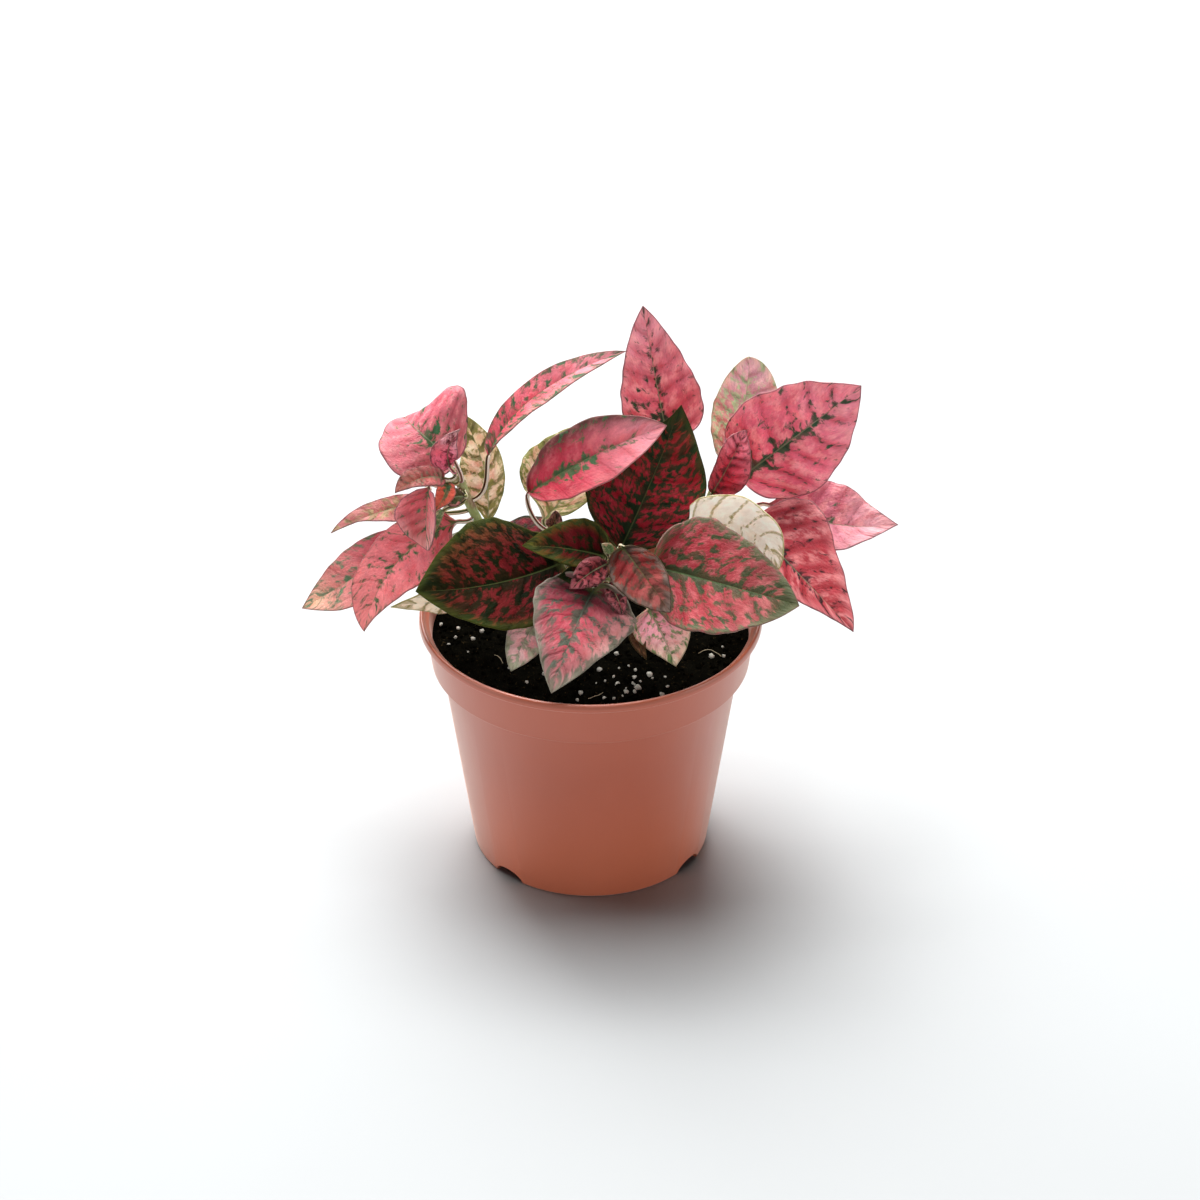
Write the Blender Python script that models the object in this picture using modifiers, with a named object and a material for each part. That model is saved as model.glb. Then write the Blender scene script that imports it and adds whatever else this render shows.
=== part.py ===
"""Potted polka dot plant: a leafy plant with variegated leaves in a plastic nursery pot.

Sizes and places are in millimetres, turned into Blender's metres by MM. The pot stands on
Z = 0 with its axis on Z, and the plant's fullest side looks along -Y.
"""
import math

import bmesh
import bpy
import numpy as np
from mathutils import Vector

MM = 0.001
GAP = 0.3

# Pot: a thin moulded cup with a collar under its lip.
POT_HEIGHT = 92.5
LIP_RADIUS = 60.0
LIP_WIDTH = 2.0
LIP_SKIRT = 3.0
COLLAR_TOP_RADIUS = 57.6
COLLAR_FOOT_RADIUS = 55.8
COLLAR_FOOT_Z = 74.5
BODY_TOP_RADIUS = 52.4
BASE_RADIUS = 41.5
WALL = 1.4
FLOOR_UNDERSIDE = 4.5
FLOOR_TOP = 6.0
FOOT_RING_WIDTH = 2.4
FOOT_BEVEL_HEIGHT = 1.2
FOOT_BEVEL_WIDTH = 0.9
CENTRE_FOOT_RADIUS = 11.0
CENTRE_FOOT_TAPER = 1.0
INNER_COVE = 1.5
COLLAR_STEP_BELOW = 1.5
COLLAR_STEP_ABOVE = 1.0
COLLAR_EDGE = 0.6
LIP_ROUNDING = 0.7
LIP_CROWN_HALF = 0.4
SKIRT_EDGE = 0.4
POT_STEPS = 48
CUTTER_DEPTH = 12.0
FLOOR_CUTTER_DEPTH = 6.0
NOTCH_SIDES = 24
HOLE_SIDES = 16

# Drain notches in the foot ring, and drain holes in the floor.
NOTCH_ANGLES = (-134.0, -34.0, 46.0, 146.0)
NOTCH_WIDTH = 13.0
NOTCH_HEIGHT = 4.0
DRAIN_HOLE_RADIUS = 3.5
DRAIN_HOLE_CIRCLE = 26.0
DRAIN_HOLES = 6
FIRST_HOLE_ANGLE = 15.0

# Potting mix: fills the cup and stops below the lip.
MIX_EDGE_Z = 84.5
MIX_CROWN_Z = 86.5
MIX_SHAPE = ((22.0, 86.2), (42.0, 85.1))
SOCKET_SIDES = 12
SOCKET_ABOVE = 2.0
SOCKET_CLEARANCE = 0.42

# Stems: points of each route, then its radius at the foot and at the top.
STEMS = {
    "stem_left": ([(-20, 4, 74), (-20, 4, 87), (-22, 4, 94), (-28, 4, 106), (-39, 5, 127), (-47, 8, 146)],
                  1.8, 1.4),
    "stem_centre": ([(-6, 6, 74), (-6, 6, 87), (-7, 5, 94), (-9, 3, 105), (-13, 0, 127)], 1.6, 1.1),
    "stem_back": ([(7, 16, 74), (7, 16, 87), (8, 17, 95), (12, 19, 112), (22, 20, 138)], 1.7, 1.1),
    "stem_right": ([(22, 8, 74), (22, 8, 87), (24, 9, 95), (29, 10, 108), (40, 11, 129), (44, 12, 139)],
                   1.8, 1.3),
    "stem_front": ([(4, -3, 74), (4, -3, 87), (4, -4, 94), (5, -8, 105), (6, -14, 120)], 1.6, 1.2),
    "stem_side": ([(30, -3, 74), (30, -3, 87), (30, -4, 94), (31, -7, 103), (33, -10, 121)], 1.6, 1.1),
}
STEM_POINTS = 9
STEM_BEVEL = 2
ROUTE_SAMPLES = 81

# Leaves. base, mid and tip are on the midrib; left and right are half widths at its quarter
# points, seen from above with the tip ahead; faces is where the upper side looks at the base and
# at the tip; fold is how far each half is raised, in degrees, and curl bends its margin further. wave
# is the margin's ripple (height, number, shift), and blunt rounds the tip, from 0.95 down to 0.4.
FACES = (0.0, -0.8, 0.5)
LEAVES = {
    "leaf_top": dict(
        stem="stem_back", seat=130, base=(27, 20, 149), mid=(22, 27, 173), tip=(18, 32, 196),
        left=(14, 12, 7.5), right=(15, 12.5, 7.5), fold=(14, 14)),
    "leaf_long": dict(
        stem="stem_left", seat=133.5, base=(-35, 7, 151), mid=(-19, 14, 170.5), tip=(12, 20, 185),
        left=(5, 6, 5), right=(4, 6.5, 5), faces=((-0.2, -0.6, 0.8),), fold=(10, 28)),
    "leaf_left_top": dict(
        stem="stem_left", seat=141.5, base=(-47, 6, 150), mid=(-58, 6, 161), tip=(-64, 22, 158),
        left=(15, 16, 12), right=(17, 21, 16), faces=(FACES, (0, -0.7, 0.7)), fold=(8, 8), blunt=0.75),
    "leaf_left_young": dict(
        stem="stem_left", seat=145.5, base=(-48, 0, 151), mid=(-48, -3, 160), tip=(-44, -2, 167),
        left=(6, 6, 3), right=(3, 4, 2), fold=(25, 25)),
    "leaf_centre_pink": dict(
        stem="stem_centre", seat=125, base=(-21, 1, 140), mid=(1, -3, 157), tip=(26, 2, 166),
        left=(10.5, 12.5, 9.5), right=(10.5, 12, 8.5), faces=((0, -0.6, 0.8), (0, -0.7, 0.7)),
        fold=(28, 15)),
    "leaf_centre_pale": dict(
        stem="stem_centre", seat=121, base=(-16, 5, 127), mid=(-5, 14, 138), tip=(7, 24, 157),
        left=(18, 19, 13.5), right=(6, 8, 5)),
    "leaf_centre_dark": dict(
        stem="stem_front", seat=116, base=(10, -8, 122), mid=(21, 1, 145), tip=(31, 9, 170),
        left=(19, 19, 9), right=(17, 21, 14), faces=((-0.2, -0.8, 0.5), (0, -0.7, 0.7)),
        fold=(12, 12)),
    "leaf_right_pale": dict(
        stem="stem_right", seat=130, base=(47, 24, 137), mid=(53, 32, 154), tip=(55, 38, 173),
        left=(9, 11, 9), right=(10, 12, 10.5), fold=(12, 12), blunt=0.55),
    "leaf_right_upper": dict(
        stem="stem_right", seat=134, base=(52, 10, 141), mid=(73, 9, 160), tip=(92, 8, 178),
        left=(20.5, 20, 14), right=(18, 17.5, 11), faces=((0.2, -0.8, 0.5), (0.4, -0.8, 0.5)),
        wave=(1.0, 3, 0.2)),
    "leaf_right_crinkled": dict(
        stem="stem_right", seat=137, base=(42, 6, 137), mid=(48, 2, 152), tip=(53, 4, 163),
        left=(4, 5, 5), right=(8, 8.5, 5), fold=(20, 20)),
    "leaf_right_side": dict(
        stem="stem_right", seat=127, base=(61, 5, 133), mid=(84, 1, 127.5), tip=(106, 0, 128),
        left=(12.5, 14.5, 9), right=(10, 11, 6), faces=((0, -0.6, 0.8),), fold=(12, 12),
        wave=(1.0, 3, 0.1)),
    "leaf_right_low": dict(
        stem="stem_right", seat=121, base=(55, -4, 131), mid=(73, -18, 117), tip=(90, -28, 102),
        left=(21, 15.5, 9), right=(10, 9, 4.5), faces=((0.2, -0.7, 0.7), (0.5, -0.7, 0.5))),
    "leaf_right_underside": dict(
        stem="stem_side", seat=115, base=(33, -16, 135), mid=(53, -20, 139), tip=(64, -28, 127),
        left=(9, 9, 6), right=(11, 10, 7), faces=((0.1, 0.9, -0.1), (0.2, 0.9, 0.1)), fold=(0, 0)),
    "leaf_front_right": dict(
        stem="stem_front", seat=112, base=(22, -28, 128), mid=(46, -40, 128), tip=(70, -48, 125),
        left=(20.5, 17.5, 11.5), right=(18.5, 18.5, 12.5),
        faces=((0, -0.8, 0.7), (0.3, -0.7, 0.6))),
    "leaf_centre_small": dict(
        stem="stem_front", seat=117, base=(11, -30, 137), mid=(19, -41, 131), tip=(27, -49, 123),
        left=(6.5, 7.5, 5), right=(10, 9.5, 6.5)),
    "leaf_front": dict(
        stem="stem_front", seat=106, base=(1, -24, 116), mid=(-6, -42, 110), tip=(-13, -60, 98),
        left=(19, 15.5, 9), right=(17.5, 14.5, 8.5), faces=((0, -0.6, 0.8), (0, -0.9, 0.5)),
        fold=(8, 8)),
    "leaf_front_left": dict(
        stem="stem_front", seat=100, base=(-12, -20, 111), mid=(-21, -32, 104), tip=(-27, -42, 95),
        left=(8, 8, 5.5), right=(8.5, 7.5, 5), faces=((0, -0.6, 0.8), (0, -0.9, 0.5)), fold=(8, 8)),
    "leaf_centre_red": dict(
        stem="stem_front", seat=119, base=(5, -18, 126), mid=(-8, -21, 131), tip=(-23, -24, 134),
        left=(6, 6, 4), right=(11, 10, 6), faces=((0, -0.7, 0.7),)),
    "leaf_left_dark": dict(
        stem="stem_centre", seat=112, base=(-10, -14, 121), mid=(-33, -26, 120), tip=(-59, -34, 122),
        left=(17, 17, 10.5), right=(21, 23, 17), faces=((0, -0.8, 0.7), (-0.4, -0.8, 0.5)),
        curl=(0, -30), wave=(0.8, 3, 0.0)),
    "leaf_left_underside": dict(
        stem="stem_left", seat=100, base=(-32, -8, 106), mid=(-50, -10, 104), tip=(-69, -12, 102),
        left=(7, 7, 4), right=(7, 7, 4), faces=((-0.2, 0.9, 0.2),), fold=(0, 0)),
    "leaf_left_low": dict(
        stem="stem_left", seat=128, base=(-46, 0, 129), mid=(-67, -8, 117), tip=(-78, -20, 97),
        left=(11, 12, 7), right=(10, 10.5, 9), faces=((-0.2, -0.7, 0.6), (-0.3, -0.8, 0.5))),
    "leaf_left_far": dict(
        stem="stem_left", seat=131, base=(-57, 8, 126), mid=(-76, 1, 111), tip=(-100, -8, 99),
        left=(8, 11, 9), right=(6, 9.5, 7.5), faces=((0, -0.7, 0.7), (-0.3, -0.8, 0.5))),
    "leaf_left_thin": dict(
        stem="stem_left", seat=135.5, base=(-54, 12, 129), mid=(-70, 10, 128), tip=(-90, 6, 121),
        left=(5, 5, 1), right=(4, 4.5, 4), faces=((0, -0.6, 0.8),), wave=(0.3, 3, 0.0)),
    "leaf_left_hanging": dict(
        stem="stem_left", seat=139.5, base=(-55, -3, 145), mid=(-56, -7, 135), tip=(-56, -9, 123),
        left=(7, 8, 6), right=(9, 11, 7), fold=(65, 8), blunt=0.7),
    "leaf_left_small": dict(
        stem="stem_left", seat=143.5, base=(-50, -5, 149), mid=(-57, -13, 154), tip=(-66, -16, 150),
        left=(4, 3.5, 2), right=(3.5, 4, 4), faces=((0, -0.7, 0.7),), fold=(15, 15)),
    "leaf_left_short": dict(
        stem="stem_left", seat=137.5, base=(-43, 0, 139), mid=(-48, -3, 140), tip=(-53, -6, 137),
        left=(3, 3.5, 1.5), right=(3, 4, 3), faces=((0, -0.7, 0.7),), fold=(12, 12)),
    "leaf_left_back": dict(
        stem="stem_left", seat=118, base=(-36, 16, 119), mid=(-37, 24, 136), tip=(-45, 32, 154),
        left=(7, 9, 5), right=(5, 7, 5.5), fold=(8, 8)),
    "leaf_centre_bud": dict(
        stem="stem_centre", seat=125, base=(-13, -4, 129), mid=(-12, -5, 133), tip=(-12, -4, 136),
        left=(3, 3, 2), right=(3, 3, 2), fold=(30, 30)),
    "leaf_front_pale": dict(
        stem="stem_side", seat=98, base=(20, -26, 110), mid=(25, -34, 103), tip=(29, -42, 97),
        left=(9, 10, 7), right=(9, 7.5, 4), faces=((0, -0.7, 0.7), (0, -0.9, 0.5)), fold=(12, 12)),
    "leaf_front_bud": dict(
        stem="stem_front", seat=113, base=(3, -20, 122), mid=(-4, -23, 122), tip=(-11, -26, 123),
        left=(5, 5, 3), right=(5, 5, 3), fold=(20, 20)),
    "leaf_rear_top": dict(
        stem="stem_back", seat=132, base=(22, 30, 137), mid=(25, 50, 136), tip=(26, 69, 124),
        left=(8, 10, 6), right=(8, 10, 6), faces=((0, 0.1, 1), (0, 0.6, 0.8))),
    "leaf_rear_left": dict(
        stem="stem_back", seat=125, base=(4, 32, 126), mid=(-3, 49, 127), tip=(-10, 66, 119),
        left=(9, 11, 7), right=(9, 11, 7), faces=((0, 0.1, 1), (0, 0.6, 0.8))),
    "leaf_rear_right": dict(
        stem="stem_right", seat=124, base=(50, 20, 131), mid=(67, 36, 135), tip=(84, 52, 127),
        left=(11, 13, 8), right=(11, 13, 8), faces=((0, 0, 1), (0.4, 0.3, 0.9))),
    "leaf_rear_low_left": dict(
        stem="stem_left", seat=106, base=(-34, 14, 109), mid=(-52, 24, 104), tip=(-68, 32, 96),
        left=(7, 9, 6), right=(7, 9, 6), faces=((0, 0, 1), (-0.4, 0.3, 0.9))),
    "leaf_rear_low_mid": dict(
        stem="stem_centre", seat=100, base=(-12, 20, 103), mid=(-24, 38, 103), tip=(-36, 55, 93),
        left=(9, 11, 7), right=(9, 11, 7), faces=((0, 0, 1), (-0.3, 0.5, 0.8))),
    "leaf_side_low_right": dict(
        stem="stem_side", seat=105, base=(42, -4, 108), mid=(60, 0, 107), tip=(78, 6, 98),
        left=(8, 10, 6), right=(8, 10, 6), faces=((0, 0, 1), (0.5, 0, 0.9))),
    "leaf_rear_low_right": dict(
        stem="stem_back", seat=100, base=(20, 30, 104), mid=(33, 48, 105), tip=(44, 66, 96),
        left=(9, 11, 7), right=(9, 11, 7), faces=((0, 0, 1), (0.3, 0.5, 0.8))),
}
FOLD = (10, 10)
WAVE = (0.6, 3, 0.0)
WAVE_LAG = 2.2
WAVE_FULL_WIDTH = 8.0
POINTED = 0.95
BASE_ROUNDNESS = 0.55
LEAST_SHARE = 0.5
LEAF_THICKNESS = 0.7
PETIOLE_HALF_WIDTH = 0.75
TIP_HALF_WIDTH = 0.5
BLADE_ROWS = 10
ROW_CROWDING = 0.6
PETIOLE_ROWS = 3
PETIOLE_CROWDING = 1.6
PETIOLE_REACH = 0.4
LEAF_COLUMNS = 6

POT_COLOUR = (0.36, 0.12, 0.08)
MIX_COLOUR = (0.012, 0.010, 0.008)
STEM_COLOUR = (0.16, 0.22, 0.06)
PINK = (0.62, 0.14, 0.17)
DARK_RED = (0.20, 0.03, 0.04)
DUSTY_PINK = (0.50, 0.26, 0.26)
CREAM = (0.66, 0.58, 0.44)
LEAF_COLOURS = {
    "leaf_centre_dark": DARK_RED, "leaf_centre_red": DARK_RED, "leaf_left_dark": DARK_RED,
    "leaf_centre_small": DUSTY_PINK, "leaf_front": DUSTY_PINK, "leaf_front_left": DUSTY_PINK,
    "leaf_front_pale": DUSTY_PINK, "leaf_right_pale": DUSTY_PINK, "leaf_centre_pale": CREAM,
    "leaf_left_back": CREAM, "leaf_right_underside": CREAM, "leaf_left_underside": CREAM,
}


def clear_scene():
    for obj in list(bpy.data.objects):
        bpy.data.objects.remove(obj, do_unlink=True)


def new_collection(name):
    collection = bpy.data.collections.new(name)
    bpy.context.scene.collection.children.link(collection)
    return collection


def move_to(obj, collection):
    for old in list(obj.users_collection):
        old.objects.unlink(obj)
    collection.objects.link(obj)


def material(name, colour, roughness):
    mat = bpy.data.materials.new(name)
    mat.use_nodes = True
    shader = mat.node_tree.nodes["Principled BSDF"]
    shader.inputs["Base Color"].default_value = (*colour, 1.0)
    shader.inputs["Roughness"].default_value = roughness
    return mat


def unit(vector):
    return vector / np.linalg.norm(vector, axis=-1, keepdims=True)


# ---------------------------------------------------------------- pot and potting mix

def inner_radius(z):
    """Inside radius of the cup at height z."""
    heights = (FLOOR_TOP, COLLAR_FOOT_Z - COLLAR_STEP_BELOW, COLLAR_FOOT_Z + COLLAR_STEP_ABOVE,
               POT_HEIGHT - LIP_SKIRT, POT_HEIGHT)
    radii = (BASE_RADIUS + COLLAR_EDGE - WALL, BODY_TOP_RADIUS - WALL, COLLAR_FOOT_RADIUS - WALL,
             COLLAR_TOP_RADIUS - WALL, LIP_RADIUS - LIP_WIDTH)
    return float(np.interp(z, heights, radii))


def turned(name, profile, collection, mat):
    """A solid of revolution from (radius, z) points that run down the outer side."""
    mesh = bpy.data.meshes.new(name)
    build = bmesh.new()
    points = [build.verts.new((radius * MM, 0.0, z * MM)) for radius, z in profile]
    for first, second in zip(points, points[1:]):
        build.edges.new((first, second))
    build.to_mesh(mesh)
    build.free()
    obj = bpy.data.objects.new(name, mesh)
    collection.objects.link(obj)
    screw = obj.modifiers.new("Screw", 'SCREW')
    screw.steps = POT_STEPS
    screw.render_steps = POT_STEPS
    screw.use_merge_vertices = True
    screw.merge_threshold = 0.00001
    screw.use_smooth_shade = True
    mesh.materials.append(mat)
    return obj


def pot_profile():
    """The cup's outline, from the middle of the floor's top round the wall to its underside."""
    lip_mid = LIP_RADIUS - LIP_WIDTH / 2
    foot_inner = BASE_RADIUS - FOOT_RING_WIDTH
    low_radius = BASE_RADIUS - WALL - INNER_COVE + GAP
    inside = [(0.0, FLOOR_TOP), (low_radius, FLOOR_TOP)]
    inside += [(inner_radius(z), z) for z in
               (FLOOR_TOP + INNER_COVE, COLLAR_FOOT_Z - COLLAR_STEP_BELOW,
                COLLAR_FOOT_Z + COLLAR_STEP_ABOVE, POT_HEIGHT - LIP_SKIRT)]
    shoulder = POT_HEIGHT - LIP_ROUNDING
    skirt = POT_HEIGHT - LIP_SKIRT
    rim = [(LIP_RADIUS - LIP_WIDTH, shoulder), (lip_mid - LIP_CROWN_HALF, POT_HEIGHT),
           (lip_mid + LIP_CROWN_HALF, POT_HEIGHT), (LIP_RADIUS, shoulder),
           (LIP_RADIUS, skirt + GAP), (LIP_RADIUS - SKIRT_EDGE, skirt)]
    outside = [(COLLAR_TOP_RADIUS, skirt - SKIRT_EDGE),
               (COLLAR_FOOT_RADIUS, COLLAR_FOOT_Z + COLLAR_EDGE),
               (COLLAR_FOOT_RADIUS - COLLAR_EDGE, COLLAR_FOOT_Z),
               (BODY_TOP_RADIUS, COLLAR_FOOT_Z - SKIRT_EDGE),
               (BASE_RADIUS + SKIRT_EDGE, FOOT_BEVEL_HEIGHT),
               (BASE_RADIUS + SKIRT_EDGE - FOOT_BEVEL_WIDTH, 0.0)]
    underside = [(foot_inner, 0.0), (foot_inner, FLOOR_UNDERSIDE),
                 (CENTRE_FOOT_RADIUS + CENTRE_FOOT_TAPER, FLOOR_UNDERSIDE),
                 (CENTRE_FOOT_RADIUS, 0.0), (0.0, 0.0)]
    return inside + rim + outside + underside


def cut(obj, cutter):
    boolean = obj.modifiers.new(cutter.name, 'BOOLEAN')
    boolean.operation = 'DIFFERENCE'
    boolean.solver = 'EXACT'
    boolean.object = cutter


def as_cutter(obj, name, collection):
    obj.name = name
    obj.hide_render = True
    obj.display_type = 'WIRE'
    move_to(obj, collection)


def make_pot(parts, cutters):
    pot = turned("pot", pot_profile(), parts, material("terracotta_plastic", POT_COLOUR, 0.45))
    for number, angle in enumerate(NOTCH_ANGLES, start=1):
        turn = math.radians(angle)
        centre = Vector((math.cos(turn), math.sin(turn), 0.0)) * BASE_RADIUS * MM
        bpy.ops.mesh.primitive_cylinder_add(
            vertices=NOTCH_SIDES, radius=NOTCH_WIDTH / 2 * MM, depth=CUTTER_DEPTH * MM, location=centre,
            rotation=(0.0, math.radians(90), turn))
        notch = bpy.context.object
        notch.scale = (NOTCH_HEIGHT / (NOTCH_WIDTH / 2), 1.0, 1.0)
        as_cutter(notch, f"notch_{number}", cutters)
        cut(pot, notch)
    for number in range(DRAIN_HOLES):
        turn = math.radians(FIRST_HOLE_ANGLE) + 2 * math.pi * number / DRAIN_HOLES
        bpy.ops.mesh.primitive_cylinder_add(
            vertices=HOLE_SIDES, radius=DRAIN_HOLE_RADIUS * MM, depth=FLOOR_CUTTER_DEPTH * MM,
            location=(DRAIN_HOLE_CIRCLE * math.cos(turn) * MM, DRAIN_HOLE_CIRCLE * math.sin(turn) * MM,
                      (FLOOR_UNDERSIDE + FLOOR_TOP) / 2 * MM))
        hole = bpy.context.object
        as_cutter(hole, f"drain_hole_{number + 1}", cutters)
        cut(pot, hole)


def mix_profile():
    """The potting mix, from the crown out over its edge and down inside the cup's wall."""
    top = [(0.0, MIX_CROWN_Z), *MIX_SHAPE, (inner_radius(MIX_EDGE_Z) - GAP, MIX_EDGE_Z)]
    side = [(inner_radius(z) - GAP, z + GAP / 2) for z in
            (COLLAR_FOOT_Z + COLLAR_STEP_ABOVE, COLLAR_FOOT_Z - COLLAR_STEP_BELOW,
             FLOOR_TOP + INNER_COVE)]
    low_radius = BASE_RADIUS - WALL - INNER_COVE - GAP
    bottom = [(low_radius, FLOOR_TOP + GAP), (0.0, FLOOR_TOP + GAP)]
    return top + side + bottom


def make_mix(parts, cutters):
    mix = turned("potting_mix", mix_profile(), parts, material("potting_mix", MIX_COLOUR, 0.95))
    for name, (route, foot_radius, _) in STEMS.items():
        x, y, z = route[0]
        top = MIX_CROWN_Z + SOCKET_ABOVE
        bottom = z - GAP
        bpy.ops.mesh.primitive_cylinder_add(
            vertices=SOCKET_SIDES, radius=(foot_radius + SOCKET_CLEARANCE) * MM, depth=(top - bottom) * MM,
            location=(x * MM, y * MM, (top + bottom) / 2 * MM))
        socket = bpy.context.object
        as_cutter(socket, f"socket_of_{name}", cutters)
        cut(mix, socket)


# ---------------------------------------------------------------- stems

def smooth_route(points, count):
    """Points spread along a smooth curve through the given ones."""
    ends = np.array([points[0]] + list(points) + [points[-1]], float)
    samples = []
    for place in np.linspace(0.0, len(points) - 1.0, count):
        span = min(int(place), len(points) - 2)
        t = place - span
        a, b, c, d = ends[span:span + 4]
        samples.append(0.5 * (2 * b + (c - a) * t + (2 * a - 5 * b + 4 * c - d) * t ** 2
                              + (3 * b - 3 * c + d - a) * t ** 3))
    return np.array(samples)


def stem_at(name, height):
    """The stem's centre, direction and radius at a height."""
    route, foot_radius, top_radius = STEMS[name]
    line = smooth_route(route, ROUTE_SAMPLES)
    place = int(np.argmin(np.abs(line[:, 2] - height)))
    place = min(max(place, 1), len(line) - 2)
    along = unit(line[place + 1] - line[place - 1])
    share = place / (len(line) - 1)
    return line[place], along, foot_radius + (top_radius - foot_radius) * share


def make_stem(name, collection, mat):
    route, foot_radius, top_radius = STEMS[name]
    line = smooth_route(route, STEM_POINTS)
    curve = bpy.data.curves.new(name, 'CURVE')
    curve.dimensions = '3D'
    curve.bevel_depth = MM
    curve.bevel_resolution = STEM_BEVEL
    curve.use_fill_caps = True
    spline = curve.splines.new('POLY')
    spline.points.add(len(line) - 1)
    for number, (point, place) in enumerate(zip(spline.points, line)):
        point.co = (*(place * MM), 1.0)
        point.radius = foot_radius + (top_radius - foot_radius) * number / (len(line) - 1)
    stem = bpy.data.objects.new(name, curve)
    collection.objects.link(stem)
    curve.materials.append(mat)


# ---------------------------------------------------------------- leaves

def half_width(s, quarters, blunt):
    """Half width of a blade at s along its midrib, through its three quarter-point widths."""
    def outline(place):
        return place ** BASE_ROUNDNESS * (1 - place) ** blunt

    scale = [width / outline(0.25 * (number + 1)) for number, width in enumerate(quarters)]
    first = (s - 0.5) * (s - 0.75) / 0.125
    second = (s - 0.25) * (s - 0.75) / -0.0625
    third = (s - 0.25) * (s - 0.5) / 0.125
    blend = first * scale[0] + second * scale[1] + third * scale[2]
    return outline(s) * np.maximum(blend, LEAST_SHARE * min(scale))


def quadratic(s, start, middle, end):
    """A curve through three points, and its direction, at s from 0 to 1."""
    handle = 2 * middle - (start + end) / 2
    point = (1 - s) ** 2 * start + 2 * s * (1 - s) * handle + s ** 2 * end
    return point, unit(2 * (1 - s) * (handle - start) + 2 * s * (end - handle))


def petiole_line(leaf, base, ahead, rows):
    """The stalk's centre line from just outside its stem to the blade, without its last point."""
    centre, along, radius = stem_at(leaf["stem"], leaf["seat"])
    out = base - centre
    out = unit(out - out.dot(along) * along)
    seat = centre + out * (radius + GAP)
    reach = PETIOLE_REACH * np.linalg.norm(base - seat)
    q = np.linspace(0.0, 1.0, rows + 1)[:-1, None] ** PETIOLE_CROWDING
    line = ((1 - q) ** 3 * seat + 3 * q * (1 - q) ** 2 * (seat + out * reach)
            + 3 * q ** 2 * (1 - q) * (base - ahead * reach / 2) + q ** 3 * base)
    heading = unit(np.gradient(np.vstack([line, base]), axis=0)[:-1])
    heading[0] = out
    return line, heading


def leaf_points(leaf, petiole_rows, blade_rows, columns):
    """Rows of points across the stalk and the blade, from the stem to the tip."""
    base, mid, tip = (np.array(leaf[key], float) for key in ("base", "mid", "tip"))
    k = np.linspace(0.0, 1.0, blade_rows + 1)[:, None]
    s = k - ROW_CROWDING * np.sin(2 * np.pi * k) / (2 * np.pi)
    centre, ahead = quadratic(s, base, mid, tip)
    stalk, stalk_ahead = petiole_line(leaf, base, ahead[0], petiole_rows)

    faces = leaf.get("faces", (FACES,))
    start, end = unit(np.array(faces[0], float)), unit(np.array(faces[-1], float))
    up = (1 - s) * start + s * end
    up = np.vstack([np.repeat(start[None], len(stalk), axis=0), up])
    ahead = np.vstack([stalk_ahead, ahead])
    centre = np.vstack([stalk, centre])
    up = unit(up - np.sum(up * ahead, axis=1, keepdims=True) * ahead)
    across = np.cross(ahead, up)

    side = np.linspace(-1.0, 1.0, columns + 1)[None, :]
    blunt = leaf.get("blunt", POINTED)
    left, right = half_width(s, leaf["left"], blunt), half_width(s, leaf["right"], blunt)
    width = np.maximum(np.where(side < 0, left, right), TIP_HALF_WIDTH)
    width[0] = PETIOLE_HALF_WIDTH
    fold = np.radians(np.where(side < 0, *leaf.get("fold", FOLD)))
    curl = np.radians(np.where(side < 0, *leaf.get("curl", (0, 0))))
    amount, count, shift = leaf.get("wave", WAVE)
    angle = fold + 0.5 * curl * np.abs(side)
    out = width * np.abs(side) * np.cos(angle) * np.sign(side)
    rise = width * np.abs(side) * np.sin(angle)
    ripple = np.sin(2 * np.pi * (count * s + shift) + np.where(side < 0, WAVE_LAG, 0.0))
    rise = rise + amount * np.abs(side) ** 1.5 * ripple * np.clip(width / WAVE_FULL_WIDTH, 0, 1)

    flat = np.repeat(PETIOLE_HALF_WIDTH * side, len(stalk), axis=0)
    out = np.vstack([flat, out])
    rise = np.vstack([np.zeros_like(flat), rise])
    return centre[:, None] + across[:, None] * out[..., None] + up[:, None] * rise[..., None]


def make_leaf(name, leaf, collection):
    points = leaf_points(leaf, PETIOLE_ROWS, BLADE_ROWS, LEAF_COLUMNS)
    rows, columns = points.shape[0] - 1, points.shape[1] - 1
    bpy.ops.mesh.primitive_grid_add(x_subdivisions=columns, y_subdivisions=rows, size=2.0)
    blade = bpy.context.object
    blade.name = name
    blade.data.name = name
    for vert in blade.data.vertices:
        column = round((vert.co.x + 1.0) / 2.0 * columns)
        row = round((vert.co.y + 1.0) / 2.0 * rows)
        vert.co = Vector(points[row, column]) * MM
    blade.data.shade_smooth()
    solid = blade.modifiers.new("Thickness", 'SOLIDIFY')
    solid.thickness = LEAF_THICKNESS * MM
    solid.offset = 0.0
    colour = LEAF_COLOURS.get(name, PINK)
    blade.data.materials.append(material(name, colour, 0.5))
    move_to(blade, collection)


def main():
    clear_scene()
    parts = new_collection("potted_polka_dot_plant")
    cutters = new_collection("cutters")
    make_pot(parts, cutters)
    make_mix(parts, cutters)
    stem_material = material("stem", STEM_COLOUR, 0.5)
    for name in STEMS:
        make_stem(name, parts, stem_material)
    for name, leaf in LEAVES.items():
        make_leaf(name, leaf, parts)


main()
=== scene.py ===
"""Potted polka dot plant: the looks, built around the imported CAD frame.

Sizes of the plant and its pot are in millimetres, turned into Blender's metres by MM. The pot
stands on Z = 0 with its axis on Z, and the plant's fullest side looks along -Y.
"""
import math

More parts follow.
